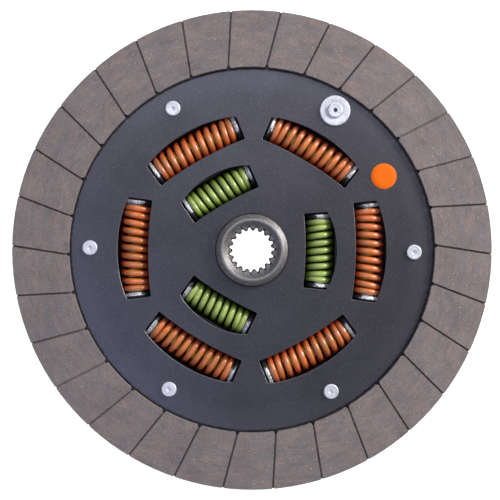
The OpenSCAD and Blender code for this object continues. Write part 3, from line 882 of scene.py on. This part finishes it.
FINISHES = {
    "plate_black": blackened_steel,
    "facing": lining,
    "groove": lightened_floor,
    # Each spring paint's fourth colour is its painted shade below the crest
    "spring_orange": lambda c: wire_paint("orange wire", c.orange, c.orange_dark, c.orange_shade,
                                          "outer_spring_1", 0.0),
    "spring_olive": lambda c: wire_paint("olive wire", c.olive, c.olive_rubbed_and_shade, c.olive_rubbed_and_shade,
                                         "nested_spring_1", 0.3),
    "spring_green": lambda c: wire_paint("green wire", c.green, c.green_dark, c.green_shade,
                                         "inner_spring_1", 0.6),
    "outer_end": lambda c: ground_steel("outer spring end", c, 83 * MM),
    "inner_end": lambda c: ground_steel("inner spring end", c, 50 * MM),
    # Painted shade on the springs' very ends
    "shaded_end": lambda c: bare_steel("oily spring end", c.painted_shade_black, 0.35, 0.5, shine=0.2),
    "hub_steel": phosphated_steel,
    "zinc": speckled_zinc,
    "pin_dimple": lambda c: bare_steel("struck zinc", c.dimple, 0.4, 0.6, shine=0.5),
    "friction": lambda c: bare_steel("washer lining", c.lining, 0.7, 0.9),
    "washer_steel": lambda c: bare_steel("washer steel", c.steel, 0.3, 0.45, rings=0.6),
    "sticker_orange": paper,
}
made_finishes = {}


def finish_of(slot_name):
    """The finish of a material slot, made once"""
    if slot_name not in made_finishes:
        made_finishes[slot_name] = FINISHES[slot_name](bpy.context.scene.disc_colours)
    return made_finishes[slot_name]


# Pieces


PAD_CORNER_STEPS = 6
SIDE_STEPS = 16       # Points along a groove's side
OUTER_RIM_STEPS = 18  # Points along a pad's outer edge
INNER_RIM_STEPS = 14  # Points along a pad's inner edge
WEB_INSET = 0.05 * MM  # How far the layer under the pads lies inside their outer edge


def pad_outline(sizes):
    """Outline of the pad between the first groove and the next"""

    def groove(turn):
        """A groove's inner and outer end, its direction and the way from its middle to its side"""
        inner = polar(sizes.inner_radius, turn + sizes.groove_lead)
        outer = polar(sizes.outer_radius, turn)
        run = (outer - inner).normalized()
        return inner, outer, run, Vector((-run.y, run.x, 0)) * sizes.groove_width / 2

    def on_circle(point, run, radius):
        """Where the line through point along run meets the circle, the crossing nearest to the point"""
        b = point.dot(run)
        root = math.sqrt(b * b - point.length_squared + radius * radius)
        return point + run * min((-b + root, -b - root), key=abs)

    inner_a, outer_a, run_a, side_a = groove(sizes.groove_angle)
    inner_b, outer_b, run_b, side_b = groove(sizes.groove_angle + math.tau / sizes.grooves)
    corners = [on_circle(inner_a + side_a, run_a, sizes.inner_radius),
               on_circle(outer_a + side_a, run_a, sizes.outer_radius),
               on_circle(outer_b - side_b, run_b, sizes.outer_radius),
               on_circle(inner_b - side_b, run_b, sizes.inner_radius)]
    radii = [sizes.corner_radius, sizes.outer_corner_radius, sizes.outer_corner_radius, sizes.corner_radius]
    inner_first, outer_first, outer_last, inner_last = quarters(rounded(corners, radii, PAD_CORNER_STEPS))

    def arc(start, end, radius, steps):
        """Points between two points on a circle about the axis"""
        begin = math.atan2(start.y, start.x)
        sweep = (math.atan2(end.y, end.x) - begin + math.pi) % math.tau - math.pi
        return [polar(radius, begin + sweep * k / steps) for k in range(1, steps)]

    def straight(start, end):
        """Points between two points on a line"""
        return [start.lerp(end, k / SIDE_STEPS) for k in range(1, SIDE_STEPS)]

    return (inner_first + straight(inner_first[-1], outer_first[0]) + outer_first
            + arc(outer_first[-1], outer_last[0], sizes.outer_radius, OUTER_RIM_STEPS) + outer_last
            + straight(outer_last[-1], inner_last[0]) + inner_last
            + arc(inner_last[-1], inner_first[0], sizes.inner_radius, INNER_RIM_STEPS))


def worn(loop, depth):
    """The loop with small dents along its edges, never outside the true outline"""
    true = wound(loop, False)
    mixed = []
    for k, (a, b) in enumerate(zip(true, inset(true, depth))):
        wave = 0.5 + 0.5 * math.sin(k * 2.4) * math.sin(k * 0.83 + 1.0)  # Two waves out of step
        mixed.append(a.lerp(b, wave * wave))
    return mixed


def facing_piece(name, node, base, upward, seed):
    """A facing: pads between the grooves on a thin layer that shows at the grooves' bottoms"""
    sizes = bpy.context.scene.facing_sizes
    material = finish_of("facing")
    sign = 1.0 if upward else -1.0
    low, high = sorted((base, base + sign * sizes.thickness))
    outline = worn(pad_outline(sizes), sizes.chip_depth)
    pad = slab(name + ".pad", outline, [], low, high, sizes.edge_round)
    pads = grown(name + ".pads", pad, ring_tree(), copies=sizes.grooves, first_angle=0.0, distance=0.0,
                 loose_turn=0.0, seed=seed, material=material)
    web_low, web_high = sorted((base, base + sign * (sizes.thickness - sizes.groove_depth)))
    web = slab(name + ".web", circle_loop(sizes.outer_radius - WEB_INSET, RIM_STEPS),
               [circle_loop(sizes.inner_radius + sizes.corner_radius, INNER_EDGE_STEPS)],
               web_low, web_high, WEB_INSET, 1)
    pads.data.materials.append(finish_of("groove"))
    web.polygons.foreach_set("material_index", [1] * len(web.polygons))
    piece = joined(name, [pads, new_object(name + ".web", web, [])])
    finish_piece(piece, "disc", [node])


class CLUTCH_OT_facings(bpy.types.Operator):
    """Makes the two grooved friction facings"""
    bl_idname = "clutch.facings"
    bl_label = "Facings"

    def execute(self, context):
        facing_piece("front_facing_look", "front_facing", PLATE_TOP * MM, True, 1)
        facing_piece("rear_facing_look", "rear_facing", PLATE_LOW * MM, False, 2)
        return {"FINISHED"}


WINDOW_CORNER_STEPS = 4
WINDOW_OUTER_STEPS = 24  # Points along a window's arc
WINDOW_INNER_STEPS = 20  # Points along a window's bowed inner edge


def window_ends(row, bow, spring_length, gap):
    """Where the lines of a window's two ends cross, with the window on the +X axis, and half their angle"""
    return Vector((row - bow, 0, 0)), (spring_length / 2 + gap) / bow


def on_line(centre, turn, about, radius):
    """Where the ray from centre at an angle meets a circle, the far crossing"""
    run = polar(1.0, turn)
    offset = centre - about
    b = offset.dot(run)
    root = math.sqrt(b * b - offset.length_squared + radius * radius)
    return centre + run * (-b + root)


def window_loop(sizes, row, bow, spring_length, arc_radius, inner_edge, turn):
    """A window: an arc outside, a flatter bowed edge inside and ends square to the spring"""
    bulge_radius = sizes.curve_radius
    bulge_centre = Vector((inner_edge - bulge_radius, 0, 0))
    centre, half = window_ends(row, bow, spring_length, sizes.seat_gap)
    corners = [on_line(centre, -half, bulge_centre, bulge_radius),
               on_line(centre, -half, ORIGIN, arc_radius),
               on_line(centre, half, ORIGIN, arc_radius),
               on_line(centre, half, bulge_centre, bulge_radius)]
    first, second, third, fourth = quarters(rounded(corners, [sizes.corner_radius] * 4, WINDOW_CORNER_STEPS))

    def arc(start, end, about, radius, steps):
        """Points between two points on a circle"""
        a, b = start - about, end - about
        begin, finish = math.atan2(a.y, a.x), math.atan2(b.y, b.x)
        return [about + polar(radius, begin + (finish - begin) * k / steps) for k in range(1, steps)]

    loop = (first + second + arc(second[-1], third[0], ORIGIN, arc_radius, WINDOW_OUTER_STEPS)
            + third + fourth + arc(fourth[-1], first[0], bulge_centre, bulge_radius, WINDOW_INNER_STEPS))
    spin = Matrix.Rotation(turn, 3, "Z")
    return [spin @ point for point in loop]


def spring_rows(springs):
    """Angles, row radius, bow, length and diameter of the outer and of the inner row of springs"""
    return ((turns(springs.outer_angle, springs.outer_count), springs.outer_row, springs.outer_bow,
             springs.outer_length, springs.outer_diameter),
            (turns(springs.inner_angle, springs.inner_count), springs.inner_row, springs.inner_bow,
             springs.inner_length, springs.inner_diameter))


def spring_windows(plate, springs):
    """Loops of all the windows of a plate"""
    edges = ((plate.outer_window_radius, plate.outer_window_inner),
             (plate.inner_window_radius, plate.inner_window_inner))
    return [window_loop(plate, row, bow, spring_length, arc_radius, inner_edge, turn)
            for (angles, row, bow, spring_length, _), (arc_radius, inner_edge)
            in zip(spring_rows(springs), edges) for turn in angles]


def pin_turns(springs):
    """Angles of the stop pins, which stand outside the outer springs"""
    return turns(springs.outer_angle, springs.outer_count)


class CLUTCH_OT_plates(bpy.types.Operator):
    """Makes the driven plate and the retainer plate"""
    bl_idname = "clutch.plates"
    bl_label = "Plates"

    def execute(self, context):
        scene = context.scene
        plate, springs, pins = scene.plate_sizes, scene.spring_sizes, scene.pin_sizes
        holes = [circle_loop(plate.hub_hole_radius, HUB_HOLE_STEPS)] + spring_windows(plate, springs)
        holes += [circle_loop(pins.shank_radius + pins.fit, PIN_HOLE_STEPS, polar(pins.circle_radius, turn))
                  for turn in pin_turns(springs)]
        for name, node, radius, low, high in (
                ("driven_plate_look", "driven_plate", plate.driven_radius, PLATE_LOW, PLATE_TOP),
                ("retainer_plate_look", "retainer_plate", plate.retainer_radius, RETAINER_LOW, RETAINER_TOP)):
            rim = circle_loop(radius, RIM_STEPS)
            mesh = slab(name, rim, holes, low * MM, high * MM, plate.edge_round, 3)
            piece = new_object(name, mesh, [finish_of("plate_black")])
            finish_piece(piece, "disc", [node])
        return {"FINISHED"}


FLANK_ANGLE = math.radians(30)
POINTS_PER_TOOTH = 20
FACE_ROUND = 0.45 * MM      # Rounding between the hub's end face and its bevel
BEVEL_ROUND = 0.3 * MM      # Rounding between the bevel and the barrel
MOUTH_RINGS = 4             # Rings of points down the cone at the bore's mouth
TOOTH_END_RINGS = 3         # Rings of points over the teeth's sloping ends
TOOTH_END_DEPTH = 0.1 * MM  # How much deeper each of these rings lies
TOOTH_END_WIDTH = 0.8 * MM  # How much narrower each of them is
FLANGE_EDGE_ROUND = 0.35 * MM


def spline_radius(sizes, turn):
    """Radius of the splined bore at an angle: teeth with straight flanks, spaces between"""
    pitch = math.tau / sizes.teeth
    offset = (turn - sizes.first_space + pitch / 2) % pitch - pitch / 2
    width = abs(offset) * sizes.pitch_radius
    half_space = math.pi * sizes.pitch_radius / sizes.teeth / 2
    flank = sizes.pitch_radius + (half_space - width) / math.tan(FLANK_ANGLE)
    return max(sizes.tip_radius, min(sizes.root_radius, flank))


def hub_section(sizes):
    """Outer half of the barrel's section, from the rear mouth's edge out and up to the front's

    The plain factors put a point or two on the curve of each rounding.
    """
    bevel = math.atan2(sizes.bevel_height, sizes.bevel_width)
    face = sizes.barrel_radius - sizes.bevel_width
    side, bottom = sizes.barrel_radius, sizes.bevel_height
    half = [
        (sizes.mouth_radius, 0.0),
        (sizes.mouth_radius + BEVEL_ROUND, 0.0),
        (face - FACE_ROUND, 0.0),
        (face - FACE_ROUND * 0.3, FACE_ROUND * 0.12),
        (face + FACE_ROUND * math.cos(bevel) * 0.6, FACE_ROUND * math.sin(bevel) * 0.75),
        (side - BEVEL_ROUND * 2 * math.cos(bevel), bottom - BEVEL_ROUND * 2 * math.sin(bevel)),
        (side - BEVEL_ROUND * 0.35, bottom - BEVEL_ROUND * 0.1),
        (side, bottom + BEVEL_ROUND),
        (side, bottom + 2 * BEVEL_ROUND),
    ]
    return half + [(radius, HUB_TOP * MM - z) for radius, z in reversed(half)]


def hub_barrel(sizes, material):
    """The barrel: its outside is turned and its bore has teeth that the mouth's cones cut back"""
    top = HUB_TOP * MM
    steps = sizes.teeth * POINTS_PER_TOOTH
    deep = sizes.mouth_depth
    depths = [(deep * k / MOUTH_RINGS, sizes.mouth_radius - sizes.mouth_slope * k / MOUTH_RINGS)
              for k in range(1, MOUTH_RINGS + 1)]
    depths += [(deep + TOOTH_END_DEPTH * k, sizes.mouth_radius - sizes.mouth_slope - TOOTH_END_WIDTH * k)
               for k in range(1, TOOTH_END_RINGS + 1)]
    bore = [(top - depth, radius) for depth, radius in depths] + depths[::-1]
    round_steps = turns(0.0, steps)
    points, faces = [], []
    for r, z in hub_section(sizes):
        points += [polar(r, turn, z) for turn in round_steps]
    for z, open_radius in bore:
        points += [polar(max(spline_radius(sizes, turn), open_radius), turn, z) for turn in round_steps]
    rows = len(points) // steps
    for row in range(rows):
        after = (row + 1) % rows
        for k in range(steps):
            n = (k + 1) % steps
            faces.append((row * steps + k, row * steps + n, after * steps + n, after * steps + k))
    mesh = creased(mesh_from("hub_barrel_look", points, faces, [True] * len(faces)))
    return new_object("hub_barrel_look", mesh, [material])


def notch_end_turn(distance, reach, rim):
    """Angle at a notch end's centre between the axis and its crossing with the rim"""
    part = (distance ** 2 + reach ** 2 - rim ** 2) / (2 * distance * reach)
    return math.acos(max(-1.0, min(1.0, part)))


def rim_turn(end, distance, reach, rim, side):
    """Angle at which a notch's end meets the rim"""
    part = (distance ** 2 + rim ** 2 - reach ** 2) / (2 * distance * rim)
    return end + side * math.acos(max(-1.0, min(1.0, part)))


def flange_outline(hub, pins, springs):
    """The flange's rim with its six notches"""
    loop = []
    end_steps, bottom_steps, rim_steps = 7, 9, 24
    reach = pins.body_radius + pins.notch_gap
    stop = notch_end_turn(pins.circle_radius, reach, hub.flange_radius)
    sweep = [stop * (1 - k / end_steps) for k in range(end_steps + 1)]
    for turn in pin_turns(springs):
        low, high = turn - pins.swing, turn + pins.swing
        following = low + math.tau / springs.outer_count
        loop += [polar(pins.circle_radius, low) + polar(reach, low + math.pi + t) for t in sweep]
        loop += [polar(pins.circle_radius - reach, low + (high - low) * k / bottom_steps)
                 for k in range(1, bottom_steps)]
        loop += [polar(pins.circle_radius, high) + polar(reach, high + math.pi - t) for t in reversed(sweep)]
        rim_start = rim_turn(high, pins.circle_radius, reach, hub.flange_radius, 1.0)
        rim_end = rim_turn(following, pins.circle_radius, reach, hub.flange_radius, -1.0)
        loop += [polar(hub.flange_radius, rim_start + (rim_end - rim_start) * k / rim_steps)
                 for k in range(1, rim_steps)]
    return loop


def flange_window(row, bow, spring_length, diameter, gap, room, seat, turn):
    """The flange's window, which clears the whole spring, also as the damper turns"""
    corner_radius, corner_steps = 0.8 * MM, 4
    sag = bow - math.sqrt(bow ** 2 - spring_length ** 2 / 4)
    low, high = row - sag - diameter / 2 - room, row + diameter / 2 + gap
    centre, half = window_ends(row, bow, spring_length, seat)

    def at(x, side):
        """The point of one of the window's ends at a distance from the axis"""
        return Vector((x, side * (x - centre.x) * math.tan(half), 0))

    corners = [at(low, -1), at(high, -1), at(high, 1), at(low, 1)]
    spin = Matrix.Rotation(turn, 3, "Z")
    return [spin @ point for point in rounded(corners, [corner_radius] * 4, corner_steps)]


class CLUTCH_OT_hub(bpy.types.Operator):
    """Makes the splined hub with its flange"""
    bl_idname = "clutch.hub"
    bl_label = "Hub"

    def execute(self, context):
        scene = context.scene
        sizes, springs, pins, plate = scene.hub_sizes, scene.spring_sizes, scene.pin_sizes, scene.plate_sizes
        material = finish_of("hub_steel")
        barrel = hub_barrel(sizes, material)
        windows = [flange_window(row, bow, spring_length, diameter, sizes.window_gap, sizes.window_room,
                                 plate.seat_gap, turn)
                   for angles, row, bow, spring_length, diameter in spring_rows(springs) for turn in angles]
        overlap = 1.5 * MM  # How far the flange reaches into the barrel
        windows.append(circle_loop(sizes.barrel_radius - overlap, TURNED_STEPS))
        low = MIDDLE * MM - sizes.flange_thickness / 2
        high = low + sizes.flange_thickness
        rim = flange_outline(sizes, pins, springs)
        mesh = slab("hub_flange_part", rim, windows, low, high, FLANGE_EDGE_ROUND)
        flange = new_object("hub_flange_part", mesh, [material])
        root = sizes.flange_fillet
        sunk = 1 * MM  # How far the fillets' backs lie inside the barrel and the flange
        fillets = []
        for base, sign in ((high, 1.0), (low, -1.0)):
            middle = (sizes.barrel_radius + root, base + sign * root)
            curve = arc_section(middle, root, 180, 180 + sign * 90, 6)
            section = curve + [(sizes.barrel_radius - sunk, base - sign * sunk)]
            if sign > 0:
                section = section[::-1]
            fillet = turned("hub_root", section, TURNED_STEPS, closed=True)
            fillets.append(new_object("hub_root", fillet, [material]))
        piece = joined("hub_look", [barrel, flange] + fillets)
        mend_normals(piece)
        finish_piece(piece, "hub", ["hub"])
        return {"FINISHED"}


def mend_normals(piece):
    """Turns every closed shell of the piece outwards"""
    work = bmesh.new()
    work.from_mesh(piece.data)
    bmesh.ops.recalc_face_normals(work, faces=work.faces)
    work.to_mesh(piece.data)
    work.free()


BARE_WIRES = 1.06  # Length of the bare end of a spring, in wires
SHADE_WIRES = 0.34  # Length of the painted shade rim at its very end, in wires


def ground_ends(piece, row, bow, spring_length, turn, wire):
    """Cuts a spring's ends flat and square to its curve; the bare ends get their finish and their rims a
    painted shade
    """
    spin = Matrix.Rotation(turn, 3, "Z")
    centre = spin @ Vector((row - bow, 0, 0))
    half = spring_length / 2 / bow
    bare = (spring_length / 2 - BARE_WIRES * wire) / bow
    end_shade = (spring_length / 2 - SHADE_WIRES * wire) / bow
    work = bmesh.new()
    work.from_mesh(piece.data)
    for side in (-1.0, 1.0):
        normal = spin @ polar(1.0, side * (half + math.pi / 2))
        everything = work.verts[:] + work.edges[:] + work.faces[:]
        cut = bmesh.ops.bisect_plane(work, geom=everything, plane_co=centre, plane_no=normal,
                                     clear_outer=True)
        rim = [e for e in cut["geom_cut"] if isinstance(e, bmesh.types.BMEdge)]
        if rim:
            for face in bmesh.ops.holes_fill(work, edges=rim)["faces"]:
                face.smooth = False
    back = spin.inverted()
    for face in work.faces:
        point = back @ (face.calc_center_median() - centre)
        reach = abs(math.atan2(point.y, point.x))
        if reach > bare:
            # Bare faces get the bright finish, the last rim the painted shade
            face.material_index = 2 if reach > end_shade else 1
    work.to_mesh(piece.data)
    work.free()


OUTER_KEPT = 0.84   # Share of an outer spring's length that is left at the damper's limits
INNER_KEPT = 0.868  # The same of an inner spring
SPRING_SETS = (
    # Kind, the row it lies in, finish, finish of its ends, hand, share kept
    ("outer", "outer", "spring_orange", "outer_end", -1.0, OUTER_KEPT),
    ("nested", "outer", "spring_olive", "outer_end", 1.0, OUTER_KEPT),
    ("inner", "inner", "spring_green", "inner_end", 1.0, INNER_KEPT),
)


def spring_set(kind, place, slot_name, end_slot, hand, kept):
    """Winds one set of springs and grinds their ends"""
    sizes = bpy.context.scene.spring_sizes
    row, bow = getattr(sizes, place + "_row"), getattr(sizes, place + "_bow")
    spring_length = getattr(sizes, place + "_length")
    first, copies = getattr(sizes, place + "_angle"), getattr(sizes, place + "_count")
    diameter, wire = getattr(sizes, kind + "_diameter"), getattr(sizes, kind + "_wire")
    coils, lead = getattr(sizes, kind + "_coils"), getattr(sizes, kind + "_lead")
    tree = coil_tree()
    ends = finish_of(end_slot)
    start = bpy.data.meshes.new("start")
    for number, turn in enumerate(turns(first, copies), 1):
        node = f"{kind}_spring_{number}"
        piece = grown(node + "_look", start.copy(), tree, half_coils=2 * coils + 3, wire_radius=wire / 2,
                      coil_radius=(diameter - wire) / 2, closed_gap=sizes.coil_gap, lead_in=lead * wire,
                      spring_length=spring_length + sizes.ground_share * wire, hand=hand, bow=bow, row=row,
                      angle=turn, height=MIDDLE * MM, material=finish_of(slot_name))
        piece.data.materials.append(ends)
        piece.data.materials.append(finish_of("shaded_end"))
        ground_ends(piece, row, bow, spring_length, turn, wire)
        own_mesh(piece)
        finish_piece(piece, "springs", [node])


class CLUTCH_OT_springs(bpy.types.Operator):
    """Makes the outer, nested and inner coil springs"""
    bl_idname = "clutch.springs"
    bl_label = "Springs"

    def execute(self, context):
        for settings in SPRING_SETS:
            spring_set(*settings)
        return {"FINISHED"}


def head_profile(pins, base, sign):
    """Section of a riveted head from the shank out and over to the dimple's bottom

    The rim's angles are in degrees; the plain factors are shares of the head's and the dimple's radius.
    """
    r, h, d = pins.head_radius, pins.head_height, pins.dimple_radius
    rim = h * 0.5
    rim_turns = [math.radians(a) for a in (-35, 0, 25, 50, 72, 88)]
    over = [(r - rim + rim * math.cos(t), h - rim + rim * math.sin(t)) for t in rim_turns]
    top = [(r * 0.72, h), (r * 0.62, h - 0.12 * MM), (d * 1.55, h - 0.15 * MM), (d * 1.12, h - 0.05 * MM)]
    dimple = [(d * 0.95, h - 0.25 * MM), (d * 0.6, h - d * 0.75), (d * 0.25, h - d), (0.0, h - d * 1.05)]
    return [(radius, base + sign * z) for radius, z in [(r - 0.15 * MM, 0.0)] + over + top + dimple]


def pin_mesh(name, pins, top):
    """A stop pin: body between the plates, shanks in them and a riveted head at each end"""
    low, inner_low, inner_high = RETAINER_LOW * MM, RETAINER_TOP * MM, PLATE_LOW * MM
    chamfer = 0.4 * MM
    shank, body = pins.shank_radius, pins.body_radius
    section = head_profile(pins, low, -1.0)[::-1]
    section += [(shank, low), (shank, inner_low), (body - chamfer, inner_low), (body, inner_low + chamfer),
                (body, inner_high - chamfer), (body - chamfer, inner_high), (shank, inner_high), (shank, top)]
    section += head_profile(pins, top, 1.0)
    return turned(name, section, PIN_STEPS)


DARK_DIMPLE_PART = 0.93  # How much of a dimple's radius has the darker, rougher finish


def dimpled(piece, pins, angles):
    """Gives the dimples of the riveted heads their darker, rougher finish"""
    piece.data.materials.append(finish_of("pin_dimple"))
    for face in piece.data.polygons:
        flat = Vector((face.center.x, face.center.y, 0))
        nearest = min((flat - polar(pins.circle_radius, turn)).length for turn in angles)
        if nearest < pins.dimple_radius * DARK_DIMPLE_PART:
            face.material_index = 1


class CLUTCH_OT_pins(bpy.types.Operator):
    """Makes the riveted stop pins and the balance weight"""
    bl_idname = "clutch.pins"
    bl_label = "Stop pins"

    def execute(self, context):
        pins, springs = context.scene.pin_sizes, context.scene.spring_sizes
        zinc = finish_of("zinc")
        plain = pin_mesh("pin", pins, PLATE_TOP * MM)
        spread = grown("pins.all", plain, ring_tree(), copies=springs.outer_count,
                       first_angle=springs.outer_angle, distance=pins.circle_radius, loose_turn=math.tau,
                       seed=4, material=zinc)
        heavy_turn = pin_turns(springs)[pins.weight_pin - 1]
        heavy_place = polar(pins.circle_radius, heavy_turn)
        work = bmesh.new()
        work.from_mesh(spread.data)
        near = [v for v in work.verts
                if (Vector((v.co.x, v.co.y, 0)) - heavy_place).length < pins.weight_radius]
        bmesh.ops.delete(work, geom=near, context="VERTS")
        work.to_mesh(spread.data)
        work.free()
        spread.name = "stop_pins_look"
        light = [f"stop_pin_{k}" for k in range(1, springs.outer_count + 1) if k != pins.weight_pin]
        finish_piece(spread, "disc", light)
        dimpled(spread, pins, pin_turns(springs))
        heavy = pin_mesh("stop_pin_weighted_look", pins, PLATE_TOP * MM + pins.weight_thickness)
        heavy.transform(Matrix.Translation(heavy_place))
        weighted = new_object("stop_pin_weighted_look", heavy, [zinc])
        dimpled(weighted, pins, [heavy_turn])
        finish_piece(weighted, "disc", [f"stop_pin_{pins.weight_pin}"])
        base = PLATE_TOP * MM
        top = base + pins.weight_thickness
        r = pins.weight_radius
        hole = pins.shank_radius + pins.fit
        chamfer, rounding, hole_chamfer = 0.3 * MM, 0.7 * MM, 0.2 * MM
        section = ([(hole, base), (r - chamfer, base), (r, base + chamfer)]
                   + arc_section((r - rounding, top - rounding), rounding, 0, 90, 5)
                   + [(hole + hole_chamfer, top), (hole, top - hole_chamfer)])
        disc = turned("balance_weight_look", section, TURNED_STEPS, heavy_place, closed=True)
        weight = new_object("balance_weight_look", disc, [zinc])
        finish_piece(weight, "disc", ["balance_weight"])
        return {"FINISHED"}


class CLUTCH_OT_friction_set(bpy.types.Operator):
    """Gives the washers between flange and plates their finish"""
    bl_idname = "clutch.friction_set"
    bl_label = "Friction set"

    def execute(self, context):
        for node, slot_name in (("front_friction_washer", "friction"), ("rear_friction_washer", "friction"),
                                ("thrust_washer", "washer_steel"), ("cone_washer", "washer_steel")):
            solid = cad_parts[node]
            for place in solid.material_slots:
                place.material = finish_of(slot_name)
            if not solid.material_slots:
                solid.data.materials.append(finish_of(slot_name))
        return {"FINISHED"}


class CLUTCH_OT_sticker(bpy.types.Operator):
    """Makes the plain round sticker"""
    bl_idname = "clutch.sticker"
    bl_label = "Sticker"

    def execute(self, context):
        pins = context.scene.pin_sizes
        base = PLATE_TOP * MM
        top = level("sticker", 1) * MM
        r = pins.sticker_radius
        edge = 0.05 * MM
        section = [(0.0, base), (r, base), (r, top - edge), (r - edge, top), (r * 0.6, top), (0.0, top)]
        place = polar(pins.sticker_distance, pins.sticker_angle)
        dot = turned("sticker_look", section, TURNED_STEPS, place)
        piece = new_object("sticker_look", dot, [finish_of("sticker_orange")])
        finish_piece(piece, "disc", ["sticker"])
        return {"FINISHED"}


FLOOR_REACH = 6.0             # Half the floor's width in metres
FLOOR_SHINE = 0.9             # How bright the floor shows to the camera, where 1 is white
LIT_POINT = (0.0, 0.0, 0.04)  # The point that all lamps face
LAMPS = (
    # Name, place, width in metres, its power in StageSizes, tint
    ("key light", (1.1, 0.56, 0.66), 0.58, "key_light", (1.0, 1.0, 1.0)),
    ("fill light", (-0.04, 0.56, 1.05), 0.7, "fill_light", (0.76, 0.78, 1.0)),
    ("side light", (-0.5, -0.36, 1.0), 0.75, "side_light", (0.52, 0.6, 1.0)),
)
FRAME_PIXELS = 500.0          # Width of the photo
DISC_PIXELS = 480.0           # Width of the disc in it
DISC_WIDTH = 0.33             # The same in metres


def area_lamp(name, place, size, watts, tint):
    """A round soft lamp that faces the disc"""
    lamp = bpy.data.lights.new(name, "AREA")
    lamp.shape = "DISK"
    lamp.size = size
    lamp.energy = watts
    lamp.color = tint
    holder = bpy.data.objects.new(name, lamp)
    holder.location = place
    holder.rotation_euler = (Vector(LIT_POINT) - Vector(place)).to_track_quat("-Z", "Y").to_euler()
    bpy.context.scene.collection.objects.link(holder)


def even_light(strength):
    """A world that lights evenly with a strength and shows white to the camera"""
    world = bpy.data.worlds.new("even light")
    world.use_nodes = True
    work = NodeWork(world.node_tree)
    rays = work.node("ShaderNodeLightPath").outputs
    bright = work.node("ShaderNodeMapRange", {
        "Value": rays["Is Camera Ray"], "To Min": strength, "To Max": 1.0})
    sky = work.nodes["Background"]
    sky.inputs["Color"].default_value = (1.0, 1.0, 1.0, 1.0)
    work.plug(sky.inputs["Strength"], bright.outputs[0])
    return world


class CLUTCH_OT_stage(bpy.types.Operator):
    """Makes the floor, the lights and the camera"""
    bl_idname = "clutch.stage"
    bl_label = "Stage"

    def execute(self, context):
        scene = context.scene
        sizes = scene.stage_sizes
        side = FLOOR_REACH
        corners = [(-side, -side, 0), (side, -side, 0), (side, side, 0), (-side, side, 0)]
        paint = pale_floor(sizes.floor, FLOOR_SHINE, scene.facing_sizes.outer_radius,
                           scene.hub_sizes.tip_radius)
        floor = new_object("floor", mesh_from("floor", corners, [(0, 1, 2, 3)]), [paint])
        for name, place, width, power_name, tint in LAMPS:
            area_lamp(name, place, width, getattr(sizes, power_name), tint)
        scene.world = even_light(sizes.sky_light)
        camera = bpy.data.cameras.new("camera")
        camera.sensor_width = 36.0
        distance = sizes.camera_height - level("front_facing", 1) * MM
        pixels = DISC_PIXELS / DISC_WIDTH
        camera.lens = camera.sensor_width * pixels * distance / FRAME_PIXELS
        camera.shift_x = (sizes.aim_x - sizes.camera_x) * pixels / FRAME_PIXELS
        camera.shift_y = (sizes.aim_y - sizes.camera_y) * pixels / FRAME_PIXELS
        camera.clip_start = 0.01
        camera.clip_end = 50.0
        holder = bpy.data.objects.new("camera", camera)
        holder.location = (sizes.camera_x, sizes.camera_y, sizes.camera_height)
        scene.collection.objects.link(holder)
        scene.camera = holder
        scene.view_settings.view_transform = "Standard"
        return {"FINISHED"}


OPERATORS = (CLUTCH_OT_facings, CLUTCH_OT_plates, CLUTCH_OT_hub, CLUTCH_OT_springs, CLUTCH_OT_pins,
             CLUTCH_OT_friction_set, CLUTCH_OT_sticker, CLUTCH_OT_stage)


class CLUTCH_PT_panel(bpy.types.Panel):
    """Lists the clutch disc's pieces"""
    bl_label = "Clutch Disc"
    bl_idname = "CLUTCH_PT_panel"
    bl_space_type = "VIEW_3D"
    bl_region_type = "UI"
    bl_category = "Clutch Disc"

    def draw(self, context):
        for operator in OPERATORS:
            self.layout.operator(operator.bl_idname)


def register():
    for group in GROUPS.values():
        bpy.utils.register_class(group)
    for name, group in GROUPS.items():
        setattr(bpy.types.Scene, name, PointerProperty(type=group))
    for operator in OPERATORS:
        bpy.utils.register_class(operator)
    bpy.utils.register_class(CLUTCH_PT_panel)


def unregister():
    bpy.utils.unregister_class(CLUTCH_PT_panel)
    for operator in reversed(OPERATORS):
        bpy.utils.unregister_class(operator)
    for name in GROUPS:
        delattr(bpy.types.Scene, name)
    for group in reversed(list(GROUPS.values())):
        bpy.utils.unregister_class(group)


def main():
    """Makes everything in order"""
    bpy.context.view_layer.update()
    register()
    bpy.ops.clutch.facings()
    bpy.ops.clutch.plates()
    bpy.ops.clutch.hub()
    bpy.ops.clutch.springs()
    bpy.ops.clutch.pins()
    bpy.ops.clutch.friction_set()
    bpy.ops.clutch.sticker()
    bpy.ops.clutch.stage()


if __name__ == "__main__":
    main()
